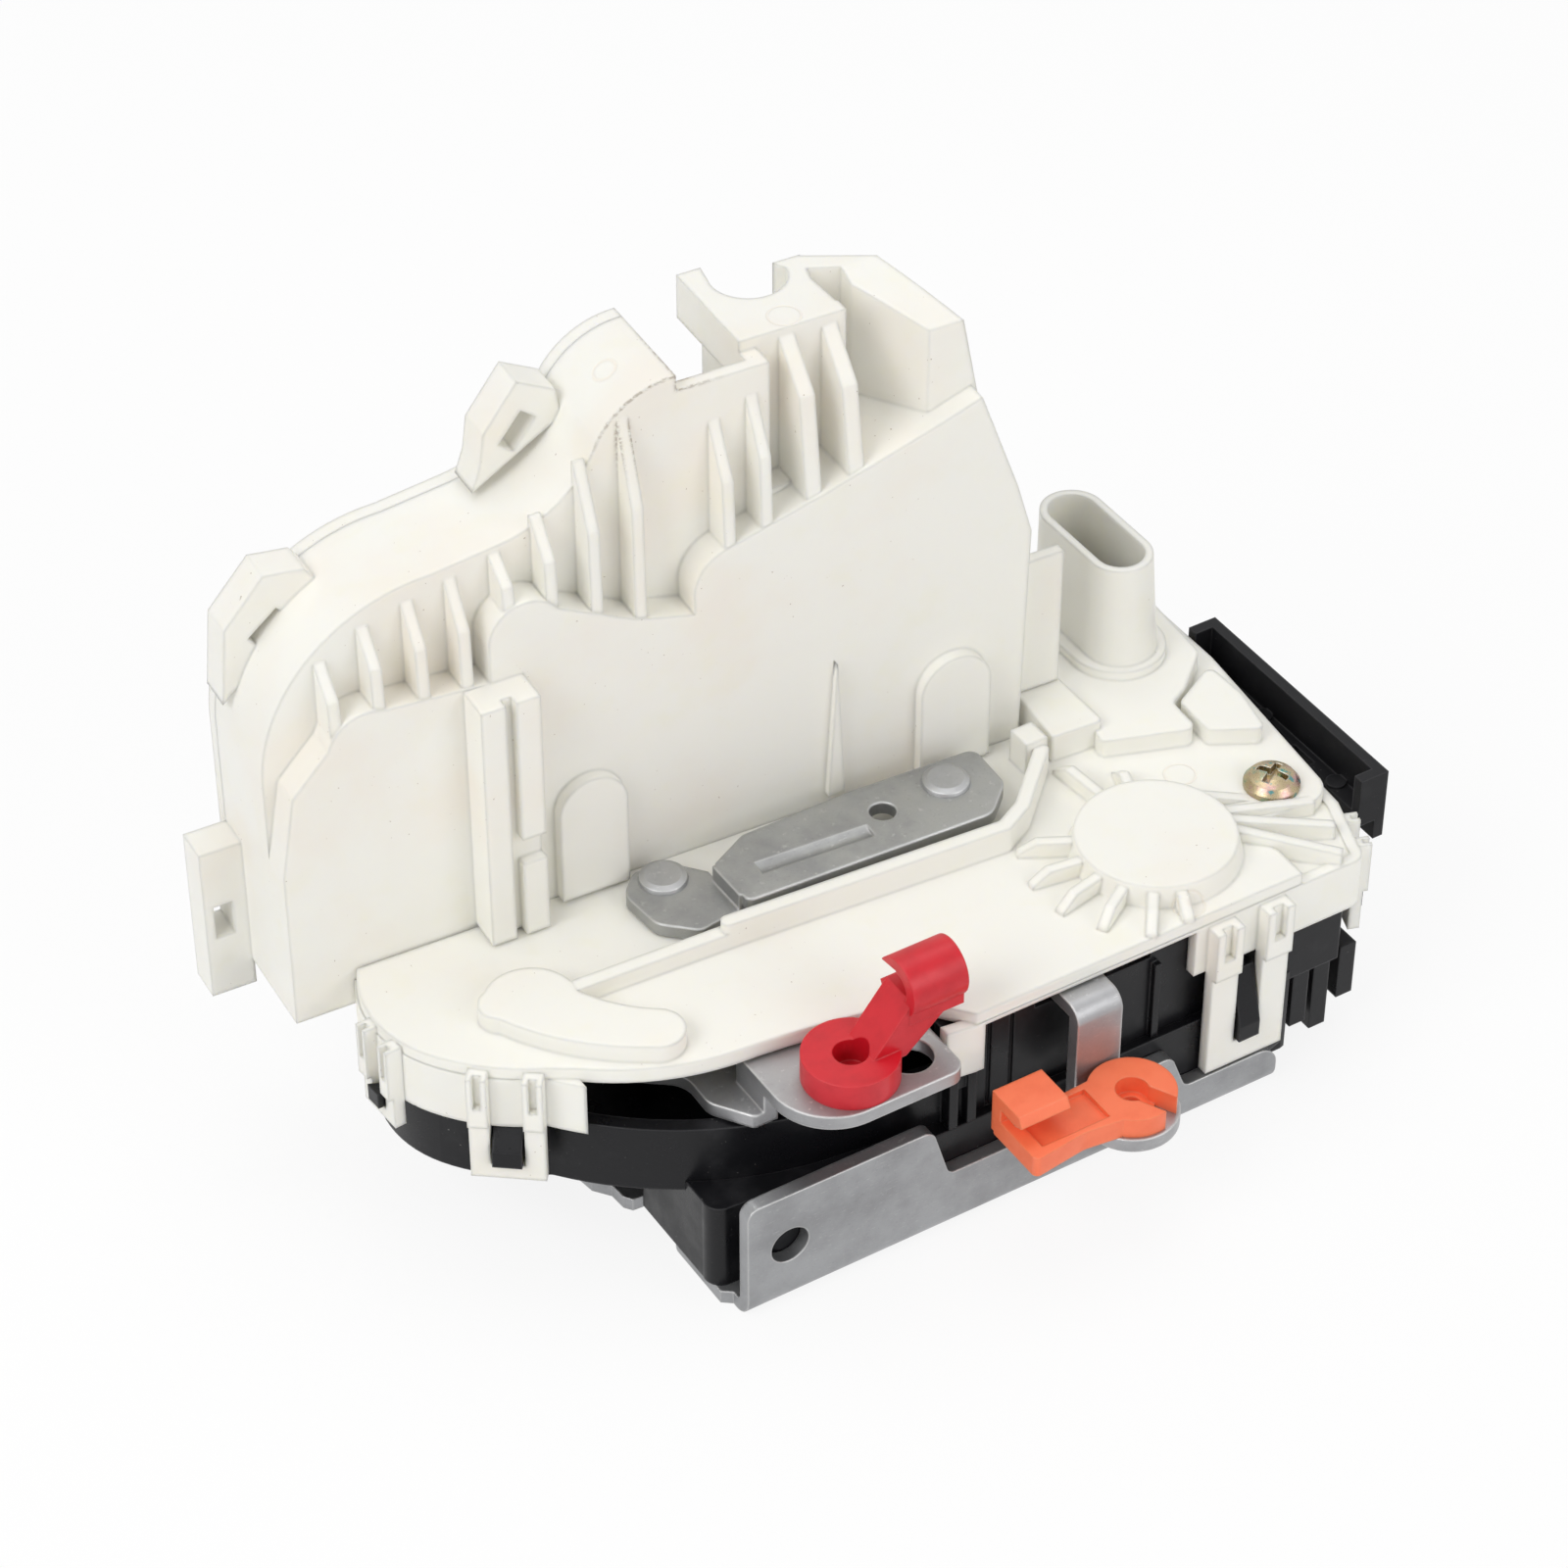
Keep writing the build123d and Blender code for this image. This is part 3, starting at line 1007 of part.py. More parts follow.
def lock_slider():
    """Rack that the pinion drives down; its foot then blocks the inside lever's tail."""
    s0, s1, d0, d1, z0, z1 = slider_column(0, slider_foot_z, slider_top_z)
    body = box(s0, s1, d0, d1, z0, z1)
    for i in range(-2, 5):
        mid = wheel_z + worm_lead * (i + 0.5)
        tooth = make_face(Polyline(
            (s0 + 0.3, mid - 0.72), (s0 - 1.75, mid - 0.3), (s0 - 1.75, mid + 0.3),
            (s0 + 0.3, mid + 0.72), close=True))
        body += upright(tooth, d0, d1)
    return CASE_PLACE * body


# ---------------------------------------------------------------- write the pieces
NODES = {
    "base_plate": base_plate(),
    "fixing_nut_left": fixing_nut(*mount_holes[0]),
    "fixing_nut_right": fixing_nut(*mount_holes[1]),
    "fixing_nut_front": fixing_nut(*mount_holes[2]),
    "fork_bolt": fork_bolt(),
    "pawl": pawl(),
    "fork_pin": pivot_pin(fork_x, fork_y, fork_pin_top),
    "pawl_pin": pivot_pin(pawl_x, pawl_y, pawl_pin_top),
    "pivot_bridge": pivot_bridge(),
    "striker_buffer": striker_buffer(),
    "latch_block": latch_block(),
    "latch_housing": latch_housing(),
    "deck_cover": deck_cover(),
    "cover_screw": cover_screw(),
    "side_channel": side_channel(),
    "contact_board": contact_board(),
    "connector_blades": connector_blades(),
    "inside_release_lever": inside_release_lever(),
    "outside_release_lever": outside_release_lever(),
    "red_rod_clip": red_rod_clip(),
    "orange_rod_clip": orange_rod_clip(),
    "fork_spring": coil(fork_x, fork_y, pocket_top + 0.2, 6.0, 1.2, 3, (3.5, 3.5)),
    "pawl_spring": coil(pawl_x, pawl_y, pocket_top + 0.2, 6.0, 1.0, 3, (3.5, 3.5)),
    "inside_lever_spring": coil(fork_x, fork_y, tray_floor + 0.3, hub_boss_r + 1.2, 1.4, 3, (6, 8)),
    "outside_lever_spring": coil(pawl_x, pawl_y, tray_floor + 0.3, hub_boss_r + 1.1, 1.2, 3, (6, 8)),
    "latch_switch": switch(31.0, 51.4, tray_floor, 90),
    "release_switch": switch(66.0, 52.0, tray_floor, 0),
    "actuator_case": actuator_case(),
    "actuator_back_cover": actuator_back_cover(),
    "motor": motor(),
    "worm": worm(),
    "worm_wheel": worm_wheel(),
    "wheel_axle": wheel_axle(),
    "lock_slider": lock_slider(),
}

os.makedirs("parts", exist_ok=True)
for name, solid in NODES.items():
    placed = Pos(-ORIGIN.X, -ORIGIN.Y, -ORIGIN.Z) * solid
    export_step(placed, f"parts/{name}.step")
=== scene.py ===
from math import cos, radians, sin

import bmesh
import bpy
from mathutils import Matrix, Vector


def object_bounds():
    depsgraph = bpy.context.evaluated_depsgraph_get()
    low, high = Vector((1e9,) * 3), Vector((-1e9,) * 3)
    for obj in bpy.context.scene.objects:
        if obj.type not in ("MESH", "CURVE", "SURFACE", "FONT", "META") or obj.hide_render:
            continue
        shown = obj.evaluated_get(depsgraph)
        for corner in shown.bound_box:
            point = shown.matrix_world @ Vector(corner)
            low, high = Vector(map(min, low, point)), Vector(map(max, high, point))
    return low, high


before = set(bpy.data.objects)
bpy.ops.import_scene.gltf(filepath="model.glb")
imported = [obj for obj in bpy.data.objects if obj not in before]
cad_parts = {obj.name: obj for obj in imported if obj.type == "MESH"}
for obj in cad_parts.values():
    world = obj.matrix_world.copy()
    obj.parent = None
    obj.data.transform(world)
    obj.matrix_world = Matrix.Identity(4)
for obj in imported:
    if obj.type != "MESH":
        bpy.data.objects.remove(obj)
cad_low, cad_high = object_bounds()

# ------------------------------------------------------------ base plate
# The plate is blanked and bent from 2 mm steel sheet, then zinc plated in a barrel.
# Tumbling leaves a fine speckle, short scuffs, and edges rubbed brighter than the faces.
plate_grey = (0.36, 0.365, 0.375)
plate_dark = (0.20, 0.20, 0.205)
plate_bright = (0.62, 0.62, 0.61)
plate_edge_r = 0.0004


def add(tree, kind, **sockets):
    """A shader node with some of its sockets set to values or linked to outputs."""
    made = tree.nodes.new("ShaderNode" + kind)
    for name, value in sockets.items():
        socket = made.inputs[name.replace("_", " ")]
        if isinstance(value, bpy.types.NodeSocket):
            tree.links.new(value, socket)
        else:
            socket.default_value = value
    return made


def finish(name, colour, metallic, roughness, ior=1.5):
    """A new surface: its material, node tree and shader."""
    material = bpy.data.materials.new(name)
    material.use_nodes = True
    surface = material.node_tree.nodes["Principled BSDF"]
    surface.inputs["Base Color"].default_value = (*colour, 1)
    surface.inputs["Metallic"].default_value = metallic
    surface.inputs["Roughness"].default_value = roughness
    surface.inputs["IOR"].default_value = ior
    return material, material.node_tree, surface


def where(tree, stretch=(1, 1, 1)):
    """Place on the piece in metres, squeezed along the axes that a mark runs across."""
    place = add(tree, "TexCoord").outputs["Object"]
    moved = add(tree, "Mapping", Vector=place, Scale=stretch)
    return moved.outputs["Vector"]


def speckle(tree, size, detail=3.0, roughness=0.55, stretch=(1, 1, 1)):
    """Random mottle from 0 to 1 whose patches are about size metres across."""
    spots = add(tree, "TexNoise", Vector=where(tree, stretch), Scale=1 / size,
                Detail=detail, Roughness=roughness)
    return spots.outputs["Fac"]


def grade(tree, value, low, high, start=0.0, end=1.0):
    """Value brought from low..high to start..end, with soft ends."""
    ramp = add(tree, "MapRange", Value=value)
    ramp.interpolation_type = "SMOOTHSTEP"
    for socket, number in (("From Min", low), ("From Max", high), ("To Min", start), ("To Max", end)):
        ramp.inputs[socket].default_value = number
    return ramp.outputs["Result"]


def times(tree, a, b):
    """Product of two values."""
    product = tree.nodes.new("ShaderNodeMath")
    product.operation = "MULTIPLY"
    for socket, value in zip(product.inputs, (a, b)):
        if isinstance(value, bpy.types.NodeSocket):
            tree.links.new(value, socket)
        else:
            socket.default_value = value
    return product.outputs[0]


def tint(tree, share, under, over):
    """Colour over laid on colour under by share."""
    mixed = tree.nodes.new("ShaderNodeMix")
    mixed.data_type = "RGBA"
    tree.links.new(share, mixed.inputs["Factor"])
    for name, value in (("A", under), ("B", over)):
        socket = [s for s in mixed.inputs if s.name == name and s.type == "RGBA"][0]
        if isinstance(value, bpy.types.NodeSocket):
            tree.links.new(value, socket)
        else:
            socket.default_value = (*value, 1)
    return [s for s in mixed.outputs if s.type == "RGBA"][0]


def rubbed_edge(tree, radius, start=0.015, end=0.12):
    """Share from 0 on flat faces to 1 along edges and corners."""
    rounded = add(tree, "Bevel", Radius=radius)
    rounded.samples = 6
    flat = add(tree, "NewGeometry").outputs["Normal"]
    facing = tree.nodes.new("ShaderNodeVectorMath")
    facing.operation = "DOT_PRODUCT"
    tree.links.new(rounded.outputs["Normal"], facing.inputs[0])
    tree.links.new(flat, facing.inputs[1])
    return grade(tree, facing.outputs["Value"], 1 - start, 1 - end), rounded.outputs["Normal"]


def relief(tree, surface, normal, *layers):
    """Bump layers, each (height, depth in metres, strength), over a rounded normal."""
    for height, depth, strength in layers:
        bump = add(tree, "Bump", Height=height, Normal=normal, Distance=depth, Strength=strength)
        normal = bump.outputs["Normal"]
    tree.links.new(normal, surface.inputs["Normal"])


def zinc_plated(name, grey, dark, bright, edge_r):
    """Barrel-plated sheet steel: speckle, clouds, scuffs and rubbed edges."""
    material, tree, surface = finish(name, grey, 0.86, 0.42)
    clouds = speckle(tree, 0.009, detail=5)
    grit = speckle(tree, 0.00035, detail=4, roughness=0.7)
    scuffs = speckle(tree, 0.0011, detail=6, roughness=0.6, stretch=(1, 1, 9))
    colour = tint(tree, grade(tree, clouds, 0.35, 0.72, 0, 0.45), grey, dark)
    colour = tint(tree, grade(tree, grit, 0.55, 0.80, 0, 0.55), colour, dark)
    colour = tint(tree, grade(tree, scuffs, 0.60, 0.72, 0, 0.5), colour, bright)
    edge, normal = rubbed_edge(tree, edge_r)
    colour = tint(tree, times(tree, edge, 0.75), colour, bright)
    tree.links.new(colour, surface.inputs["Base Color"])
    tree.links.new(grade(tree, clouds, 0.3, 0.75, 0.36, 0.56), surface.inputs["Roughness"])
    relief(tree, surface, normal, (grit, 0.00003, 0.5), (clouds, 0.0002, 0.25))
    return material


def dress(material, slot, *names):
    """Lays a finish on pieces of the frame."""
    for name in names:
        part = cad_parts[name]
        if not part.material_slots:
            part.data.materials.append(material)
        for place in part.material_slots:
            place.material = material


plate_steel = zinc_plated("plate_steel", plate_grey, plate_dark, plate_bright, plate_edge_r)
dress(plate_steel, "zinc_steel", "base_plate",
      "fixing_nut_left", "fixing_nut_right", "fixing_nut_front")

# ------------------------------------------------------------ fork bolt, pawl and pins
# Fine-blanked from thicker hardened steel, phosphated dark and ground on the faces.
# The pins are cold formed, and their riveted heads are smoother than the sheet round them.
phosphate_grey = (0.13, 0.13, 0.14)
phosphate_dark = (0.06, 0.06, 0.065)
ground_bright = (0.48, 0.48, 0.49)
pin_grey = (0.47, 0.475, 0.48)
pin_dark = (0.30, 0.30, 0.305)
pin_bright = (0.70, 0.70, 0.69)


def hardened(name):
    """Dark phosphated steel with grinding lines and bright corners."""
    material, tree, surface = finish(name, phosphate_grey, 0.9, 0.45)
    lines = speckle(tree, 0.0006, detail=4, stretch=(1, 14, 14))
    clouds = speckle(tree, 0.006, detail=4)
    colour = tint(tree, grade(tree, clouds, 0.35, 0.7), phosphate_grey, phosphate_dark)
    colour = tint(tree, grade(tree, lines, 0.6, 0.78, 0, 0.4), colour, ground_bright)
    edge, normal = rubbed_edge(tree, 0.0003)
    colour = tint(tree, times(tree, edge, 0.8), colour, ground_bright)
    tree.links.new(colour, surface.inputs["Base Color"])
    tree.links.new(grade(tree, lines, 0.3, 0.7, 0.34, 0.52), surface.inputs["Roughness"])
    relief(tree, surface, normal, (lines, 0.00003, 0.5))
    return material


latch_steel = hardened("latch_steel")
dress(latch_steel, "hardened_steel", "fork_bolt", "pawl")
pin_steel = zinc_plated("pin_steel", pin_grey, pin_dark, pin_bright, 0.0003)
dress(pin_steel, "zinc_steel", "fork_pin", "pawl_pin")

# ------------------------------------------------------------ springs and striker stop
# The torsion springs are wound from oiled music wire; the stop is a moulded rubber block.
wire_grey = (0.20, 0.19, 0.18)
wire_bright = (0.45, 0.44, 0.42)
rubber_black = (0.018, 0.018, 0.018)
rubber_dust = (0.07, 0.07, 0.068)


def oiled_wire(name):
    """Drawn spring wire with fine die lines and an oily sheen."""
    material, tree, surface = finish(name, wire_grey, 1.0, 0.32)
    lines = speckle(tree, 0.0004, detail=3, stretch=(3, 3, 1))
    colour = tint(tree, grade(tree, lines, 0.45, 0.75, 0, 0.7), wire_grey, wire_bright)
    tree.links.new(colour, surface.inputs["Base Color"])
    tree.links.new(grade(tree, lines, 0.3, 0.7, 0.26, 0.42), surface.inputs["Roughness"])
    relief(tree, surface, rubbed_edge(tree, 0.0003)[1], (lines, 0.00002, 0.4))
    return material


def dusty_rubber(name):
    """Moulded rubber with a dull bloom."""
    material, tree, surface = finish(name, rubber_black, 0.0, 0.75)
    bloom = speckle(tree, 0.002, detail=6)
    tree.links.new(tint(tree, grade(tree, bloom, 0.45, 0.8), rubber_black, rubber_dust),
                   surface.inputs["Base Color"])
    relief(tree, surface, rubbed_edge(tree, 0.0005)[1], (bloom, 0.0001, 0.4))
    return material


spring_wire = oiled_wire("spring_wire")
dress(spring_wire, "spring_steel", "fork_spring", "pawl_spring",
      "inside_lever_spring", "outside_lever_spring")
dress(dusty_rubber("stop_rubber"), "rubber", "striker_buffer")

# ------------------------------------------------------------ latch housing and side channel
# Injection moulded in black glass-filled plastic: half-glossy where the tool was polished,
# faintly matt on the ribs, with pale scuffs on corners and a little workshop dust.
housing_black = (0.0075, 0.0075, 0.0090)
housing_scuff = (0.085, 0.085, 0.09)
housing_dust = (0.16, 0.155, 0.145)
housing_edge_r = 0.0004


def black_moulding(name, low_gloss, high_gloss):
    """Black plastic: tool grain, smudges, dust specks and pale corners."""
    material, tree, surface = finish(name, housing_black, 0.0, 0.35)
    smudge = speckle(tree, 0.007, detail=6, roughness=0.6)
    grain = speckle(tree, 0.0003, detail=2)
    scratch = speckle(tree, 0.0016, detail=7, roughness=0.62, stretch=(1, 5, 8))
    dust = speckle(tree, 0.0005, detail=2)
    edge, normal = rubbed_edge(tree, housing_edge_r)
    colour = tint(tree, grade(tree, smudge, 0.5, 0.8, 0, 0.18), housing_black, housing_scuff)
    colour = tint(tree, grade(tree, scratch, 0.66, 0.72, 0, 0.35), colour, housing_scuff)
    colour = tint(tree, times(tree, edge, 0.42), colour, housing_scuff)
    settled = times(tree, grade(tree, dust, 0.71, 0.76), grade(tree, smudge, 0.48, 0.62))
    colour = tint(tree, settled, colour, housing_dust)
    tree.links.new(colour, surface.inputs["Base Color"])
    tree.links.new(grade(tree, smudge, 0.3, 0.72, low_gloss, high_gloss), surface.inputs["Roughness"])
    surface.inputs["Specular IOR Level"].default_value = 0.22
    relief(tree, surface, normal, (grain, 0.00002, 0.35), (smudge, 0.0003, 0.12))
    return material


housing_plastic = black_moulding("housing_plastic", 0.24, 0.46)
dress(housing_plastic, "black_plastic", "latch_block", "latch_housing", "contact_board")
channel_plastic = black_moulding("channel_plastic", 0.42, 0.60)
dress(channel_plastic, "black_plastic", "side_channel", "latch_switch", "release_switch")

# ------------------------------------------------------------ release levers
# Both levers are blanked from 2 mm sheet and folded, then plated with the base plate.
# They are handled more, so the zinc is lighter and the folds are burnished.
lever_grey = (0.42, 0.42, 0.43)
lever_dark = (0.26, 0.26, 0.265)
lever_bright = (0.70, 0.70, 0.69)

lever_steel = zinc_plated("lever_steel", lever_grey, lever_dark, lever_bright, 0.0005)
dress(lever_steel, "zinc_steel", "inside_release_lever", "outside_release_lever")

# ------------------------------------------------------------ rod clips
# Each clip is one acetal moulding that turns in its lever: dyed through, waxy, a little
# translucent at thin edges, and slightly rubbed where the rod is snapped in.
red_dye = (0.62, 0.010, 0.022)
red_deep = (0.36, 0.004, 0.010)
red_pale = (0.78, 0.06, 0.07)
orange_dye = (0.95, 0.20, 0.085)
orange_deep = (0.78, 0.12, 0.045)
orange_pale = (0.95, 0.30, 0.14)


def dyed_acetal(name, dye, deep, pale):
    """Waxy dyed plastic with pale edges and a soft mottle."""
    material, tree, surface = finish(name, dye, 0.0, 0.36, ior=1.48)
    mottle = speckle(tree, 0.0035, detail=5)
    grain = speckle(tree, 0.00025, detail=2)
    edge, normal = rubbed_edge(tree, 0.00035)
    colour = tint(tree, grade(tree, mottle, 0.4, 0.75, 0, 0.35), dye, deep)
    colour = tint(tree, times(tree, edge, 0.5), colour, pale)
    tree.links.new(colour, surface.inputs["Base Color"])
    tree.links.new(grade(tree, mottle, 0.3, 0.7, 0.30, 0.44), surface.inputs["Roughness"])
    surface.inputs["Subsurface Weight"].default_value = 0.12
    surface.inputs["Subsurface Radius"].default_value = (1.0, 0.35, 0.25)
    surface.inputs["Subsurface Scale"].default_value = 0.0012
    relief(tree, surface, normal, (grain, 0.00001, 0.4), (mottle, 0.0002, 0.15))
    return material


dress(dyed_acetal("red_acetal", red_dye, red_deep, red_pale), "red_plastic", "red_rod_clip")
dress(dyed_acetal("orange_acetal", orange_dye, orange_deep, orange_pale),
      "orange_plastic", "orange_rod_clip")

# ------------------------------------------------------------ deck cover
# Moulded in natural ivory plastic with a fine spark-eroded grain. It is faintly
# translucent, so recesses look yellower. Handling has left warm stains and specks, and the
# ejector pins have left faint rings.
ivory = (0.89, 0.88, 0.825)
ivory_stain = (0.87, 0.79, 0.69)
ivory_recess = (0.87, 0.85, 0.68)
ivory_speck = (0.30, 0.21, 0.14)
ivory_edge = (0.90, 0.90, 0.84)
ivory_edge_r = 0.0009
pin_r = 0.0021
pin_ring_w = 0.0003
deck_pins = ((0.0499, 0.0065, 0.034), (0.0355, -0.0155, 0.034))


def ivory_moulding(name, stain_share, gloss, extra=None):
    """Natural plastic: tool grain, warm stains, tiny specks, paler edges."""
    material, tree, surface = finish(name, ivory, 0.0, gloss, ior=1.46)
    stain = speckle(tree, 0.021, detail=5, roughness=0.5)
    cloud = speckle(tree, 0.006, detail=4)
    grain = speckle(tree, 0.00022, detail=2)
    speck = speckle(tree, 0.00055, detail=1)
    edge, normal = rubbed_edge(tree, ivory_edge_r)
    colour = tint(tree, grade(tree, stain, 0.46, 0.72, 0, stain_share), ivory, ivory_stain)
    colour = tint(tree, grade(tree, cloud, 0.5, 0.8, 0, 0.3), colour, ivory_recess)
    colour = tint(tree, times(tree, edge, 0.5), colour, ivory_edge)
    specks = times(tree, grade(tree, speck, 0.775, 0.80), grade(tree, stain, 0.44, 0.56))
    colour = tint(tree, times(tree, specks, 0.55), colour, ivory_speck)
    heights = [(grain, 0.00002, 0.35), (cloud, 0.0002, 0.10)]
    if extra:
        colour = extra(tree, colour, heights, edge)
    tree.links.new(colour, surface.inputs["Base Color"])
    tree.links.new(grade(tree, cloud, 0.3, 0.7, gloss - 0.05, gloss + 0.08), surface.inputs["Roughness"])
    surface.inputs["Subsurface Weight"].default_value = 0.18
    surface.inputs["Subsurface Radius"].default_value = (1.0, 0.9, 0.55)
    surface.inputs["Subsurface Scale"].default_value = 0.0015
    relief(tree, surface, normal, *heights)
    return material


def reach(tree, centre):
    """Distance in metres from a point on the piece."""
    span = tree.nodes.new("ShaderNodeVectorMath")
    span.operation = "DISTANCE"
    tree.links.new(where(tree), span.inputs[0])
    span.inputs[1].default_value = centre
    return span.outputs["Value"]


def pin_ring(tree, centre, radius):
    """Share of the thin groove that an ejector pin's rim leaves round a point."""
    outside = grade(tree, reach(tree, centre), radius - pin_ring_w, radius)
    inside = grade(tree, reach(tree, centre), radius, radius + pin_ring_w, 1, 0)
    return times(tree, outside, inside)


def pin_marks(*centres):
    """Ejector-pin rings at the given points, a little darker than the face."""
    def marked(tree, colour, heights, edge):
        for centre in centres:
            ring = pin_ring(tree, centre, pin_r)
            heights.append((grade(tree, ring, 0, 1, 1, 0), 0.00012, 0.6))
            colour = tint(tree, times(tree, ring, 0.45), colour, ivory_stain)
        return colour
    return marked


cover_plastic = ivory_moulding("cover_plastic", 0.30, 0.40, pin_marks(*deck_pins))
dress(cover_plastic, "ivory_plastic", "deck_cover")

# ------------------------------------------------------------ pivot bridge
# The link is stamped with a long bead and a joggle, plated, and riveted over both pins.
bridge_grey = (0.42, 0.425, 0.42)
bridge_dark = (0.20, 0.20, 0.205)
bridge_bright = (0.60, 0.60, 0.595)

bridge_steel = zinc_plated("bridge_steel", bridge_grey, bridge_dark, bridge_bright, 0.0006)
dress(bridge_steel, "zinc_steel", "pivot_bridge")

# ------------------------------------------------------------ locking drive
# A can motor with a moulded worm turns the worm wheel; its pinion drives the rack.
# The gears are natural acetal, greased, and the motor can is bright drawn steel.
gear_white = (0.80, 0.80, 0.76)
gear_grease = (0.70, 0.66, 0.50)
can_grey = (0.55, 0.55, 0.56)
can_dark = (0.36, 0.36, 0.37)
can_bright = (0.75, 0.75, 0.75)


def greased_acetal(name):
    """Natural acetal gear with a film of grease in the teeth."""
    material, tree, surface = finish(name, gear_white, 0.0, 0.35, ior=1.48)
    film = speckle(tree, 0.0025, detail=5)
    tree.links.new(tint(tree, grade(tree, film, 0.45, 0.7), gear_white, gear_grease),
                   surface.inputs["Base Color"])
    tree.links.new(grade(tree, film, 0.4, 0.7, 0.42, 0.18), surface.inputs["Roughness"])
    surface.inputs["Subsurface Weight"].default_value = 0.15
    surface.inputs["Subsurface Scale"].default_value = 0.001
    relief(tree, surface, rubbed_edge(tree, 0.0002)[1], (film, 0.0001, 0.3))
    return material


dress(greased_acetal("gear_acetal"), "white_gear_plastic", "worm", "worm_wheel", "lock_slider")
motor_steel = zinc_plated("motor_steel", can_grey, can_dark, can_bright, 0.0004)
dress(motor_steel, "motor_steel", "motor", "wheel_axle")

# ------------------------------------------------------------ actuator case
# The tall case is the same ivory plastic as the cover. Ejector pins have left faint rings,
# and the roof's front edge carries brown scuffs from fitting.
case_pins = ((-0.0162, 0.0394, 0.1028), (0.0071, 0.0366, 0.105))
fitting_scuff = (0.27, 0.17, 0.10)
scuff_centre = (-0.0148, 0.0335, 0.1030)
scuff_near, scuff_far = 0.004, 0.012


def case_marks(tree, colour, heights, edge):
    """Pin rings and the brown scuffs on the roof's front edge."""
    colour = pin_marks(*case_pins)(tree, colour, heights, edge)
    near = grade(tree, reach(tree, scuff_centre), scuff_near, scuff_far, 1, 0)
    strokes = speckle(tree, 0.0016, detail=6, roughness=0.65, stretch=(2, 2, 5))
    rubbed = times(tree, times(tree, near, edge), grade(tree, strokes, 0.42, 0.56))
    return tint(tree, times(tree, rubbed, 0.7), colour, fitting_scuff)


case_plastic = ivory_moulding("case_plastic", 0.42, 0.46, case_marks)
dress(case_plastic, "ivory_plastic", "actuator_case", "actuator_back_cover")

# ------------------------------------------------------------ connector blades
# Six blades blanked from brass strip and tin plated.
tin_grey = (0.62, 0.61, 0.58)
tin_dark = (0.42, 0.40, 0.36)
tin_bright = (0.80, 0.79, 0.76)

dress(zinc_plated("blade_tin", tin_grey, tin_dark, tin_bright, 0.0001),
      "tinned_brass", "connector_blades")

# ------------------------------------------------------------ cover screw
# Pan-head screw with yellow chromate, which shifts from straw to green and pink.
straw = (0.44, 0.36, 0.22)
chromate_green = (0.24, 0.34, 0.24)
chromate_pink = (0.46, 0.29, 0.27)
mark_paint = (0.03, 0.26, 0.28)


def yellow_chromate(name):
    """Iridescent passivation over zinc, with traces of a teal locking paint."""
    material, tree, surface = finish(name, straw, 0.95, 0.3)
    drift = speckle(tree, 0.0028, detail=3)
    grit = speckle(tree, 0.0002, detail=3)
    colour = tint(tree, grade(tree, drift, 0.5, 0.7), straw, chromate_pink)
    colour = tint(tree, grade(tree, drift, 0.46, 0.34), colour, chromate_green)
    edge, normal = rubbed_edge(tree, 0.0003)
    colour = tint(tree, times(tree, edge, 0.5), colour, pin_bright)
    dabs = speckle(tree, 0.0016, detail=4, roughness=0.6)
    colour = tint(tree, grade(tree, dabs, 0.60, 0.66, 0, 0.8), colour, mark_paint)
    tree.links.new(colour, surface.inputs["Base Color"])
    tree.links.new(grade(tree, grit, 0.3, 0.7, 0.24, 0.40), surface.inputs["Roughness"])
    relief(tree, surface, normal, (grit, 0.00001, 0.5))
    return material


dress(yellow_chromate("screw_chromate"), "yellow_zinc", "cover_screw")

# ------------------------------------------------------------ table, lamps and camera
# The part stands on its mounting face on a white table, under broad soft lamps.
floor_z = cad_low[2]
floor_half = 1.2
white = (1.0, 1.0, 1.0)
table_paint = (0.92, 0.92, 0.92)
plain_share = 0.86


def table_top():
    """A wide flat sheet under the part."""
    grid = bmesh.new()
    bmesh.ops.create_grid(grid, x_segments=24, y_segments=24, size=floor_half)
    mesh = bpy.data.meshes.new("table_top")
    grid.to_mesh(mesh)
    grid.free()
    sheet = bpy.data.objects.new("table_top", mesh)
    sheet.location = (0, 0, floor_z)
    bpy.context.scene.collection.objects.link(sheet)
    return sheet


def looked_at(tree):
    """1 for what is seen directly, mirrored or through clear stuff, and 0 for light and shade."""
    path = tree.nodes.new("ShaderNodeLightPath")
    seen = path.outputs["Is Camera Ray"]
    for ray in ("Is Glossy Ray", "Is Transmission Ray"):
        either = tree.nodes.new("ShaderNodeMath")
        either.operation = "MAXIMUM"
        tree.links.new(seen, either.inputs[0])
        tree.links.new(path.outputs[ray], either.inputs[1])
        seen = either.outputs[0]
    return seen


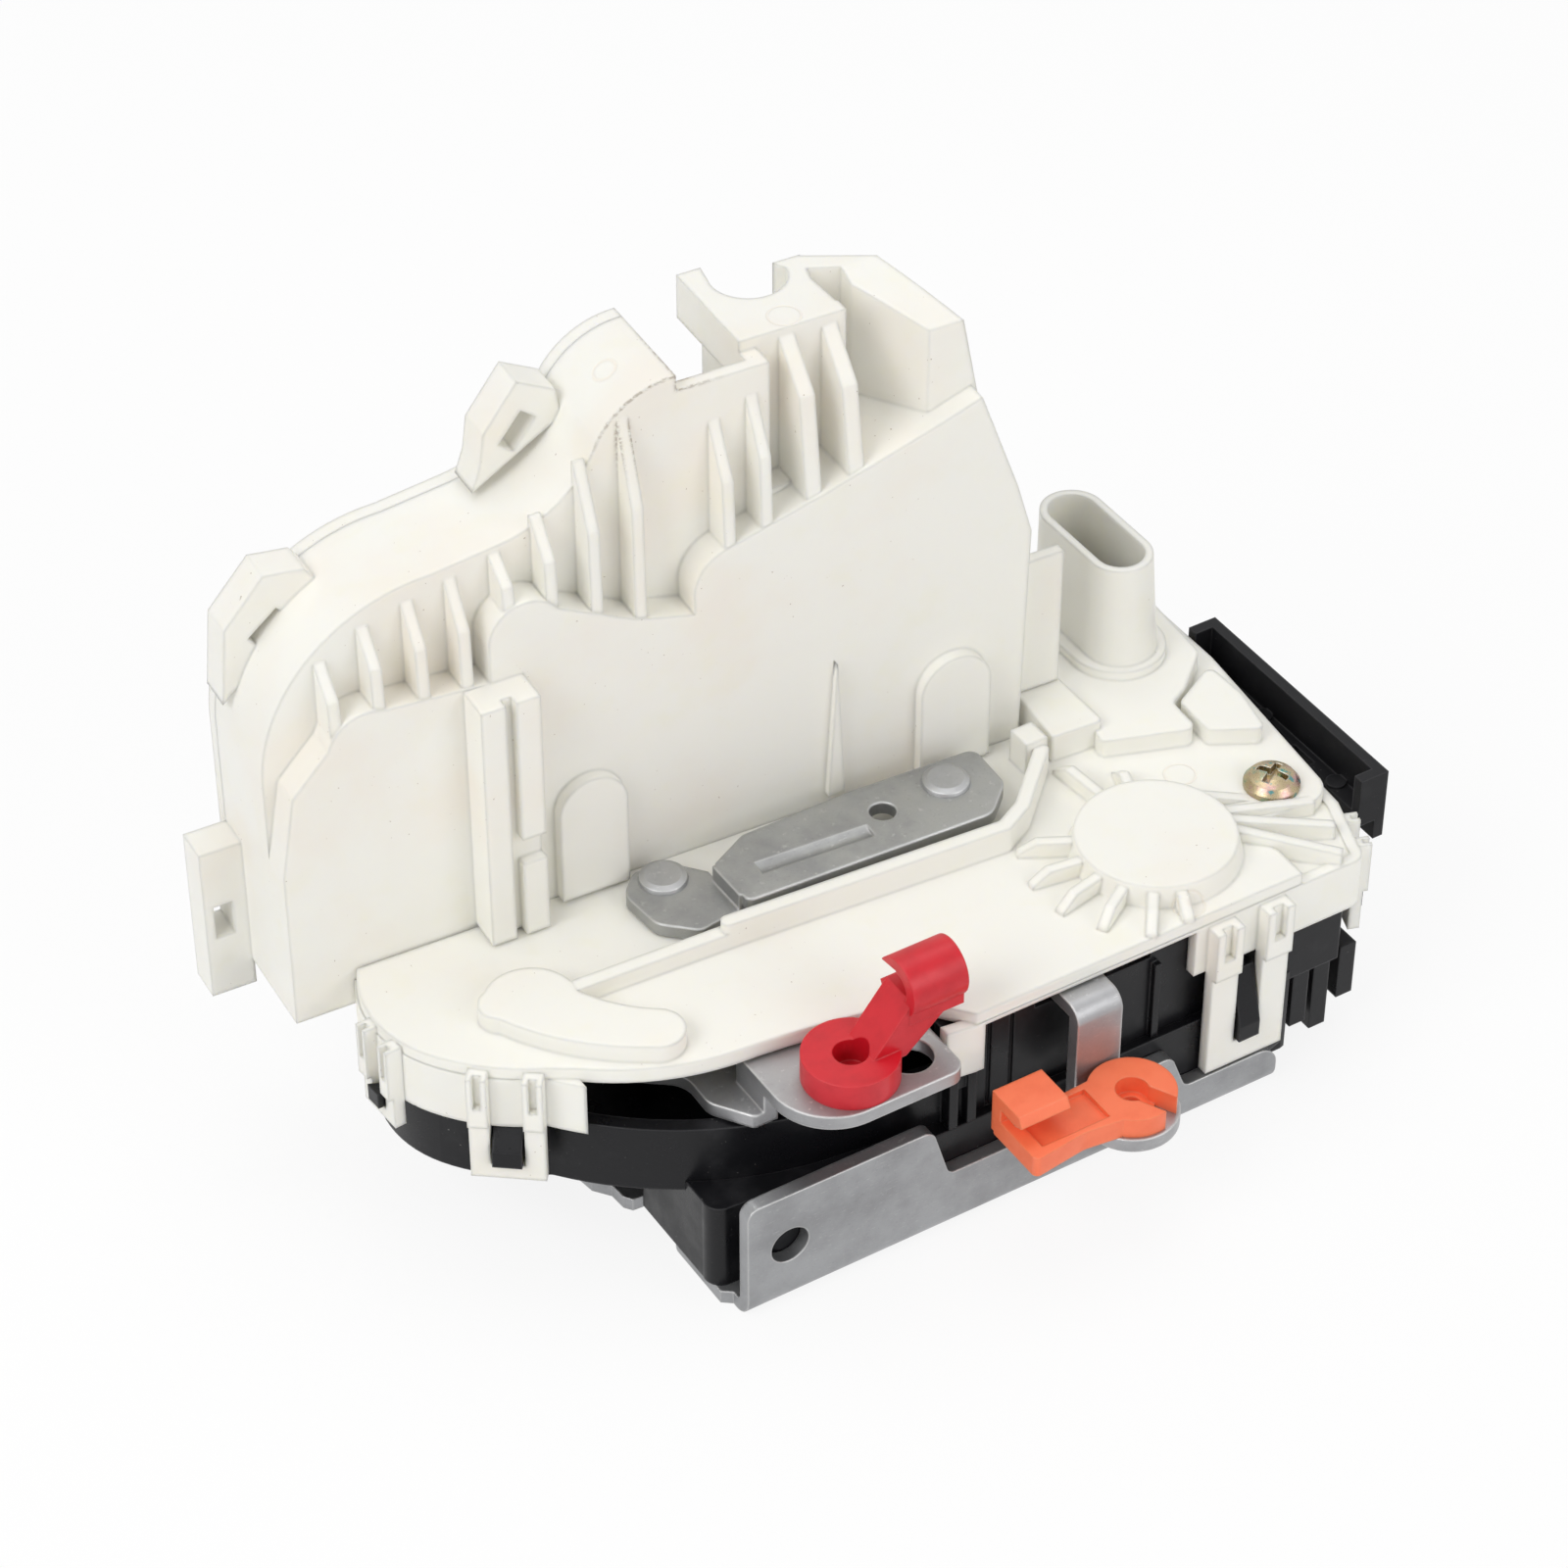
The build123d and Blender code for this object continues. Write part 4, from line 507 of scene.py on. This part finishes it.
def seen_white(material):
    """Lays plain white over a floor for what sees it, and keeps part of its shading."""
    tree = material.node_tree
    glow = add(tree, "Emission", Color=(*white, 1), Strength=1.0)
    blend = tree.nodes.new("ShaderNodeMixShader")
    tree.links.new(times(tree, looked_at(tree), plain_share), blend.inputs["Fac"])
    tree.links.new(tree.nodes["Principled BSDF"].outputs[0], blend.inputs[1])
    tree.links.new(glow.outputs[0], blend.inputs[2])
    tree.links.new(blend.outputs[0], tree.nodes["Material Output"].inputs["Surface"])


floor_finish = finish("table_white", table_paint, 0.0, 0.7)[0]
seen_white(floor_finish)
table = table_top()
table.data.materials.append(floor_finish)


def room_light(strength):
    """Even light from all round, seen as plain white."""
    world = bpy.data.worlds.new("room")
    bpy.context.scene.world = world
    world.use_nodes = True
    tree = world.node_tree
    back = tree.nodes["Background"]
    back.inputs["Color"].default_value = (*white, 1)
    tree.links.new(grade(tree, looked_at(tree), 0, 1, strength, 1.0), back.inputs["Strength"])


def soft_lamp(name, place, target, size, watts):
    """Square soft box aimed at a point."""
    light = bpy.data.lights.new(name, "AREA")
    light.size = size
    light.energy = watts
    lamp = bpy.data.objects.new(name, light)
    lamp.location = place
    lamp.rotation_euler = (Vector(target) - Vector(place)).to_track_quat("-Z", "Y").to_euler()
    bpy.context.scene.collection.objects.link(lamp)


room_light(0.50)
middle = (cad_low + cad_high) / 2
soft_lamp("window_lamp", (-0.75, -0.15, 0.75), middle, 0.55, 3.9)
soft_lamp("front_lamp", (0.35, -0.85, 0.55), middle, 0.60, 2.5)
soft_lamp("top_lamp", (0.10, 0.25, 0.95), middle, 0.60, 2.0)

camera_place = Vector((-0.2467, -0.3703, 0.4323))
heading, tilt = radians(31.95), radians(40.0)
camera_look = Vector((sin(heading) * cos(tilt), cos(heading) * cos(tilt), -sin(tilt)))
lens = bpy.data.cameras.new("camera")
lens.lens = 108
lens.sensor_width = 36
lens.clip_start = 0.01
camera = bpy.data.objects.new("camera", lens)
camera.location = camera_place
camera.rotation_euler = camera_look.to_track_quat("-Z", "Y").to_euler()
bpy.context.scene.collection.objects.link(camera)
bpy.context.scene.camera = camera
bpy.context.scene.view_settings.view_transform = "Standard"
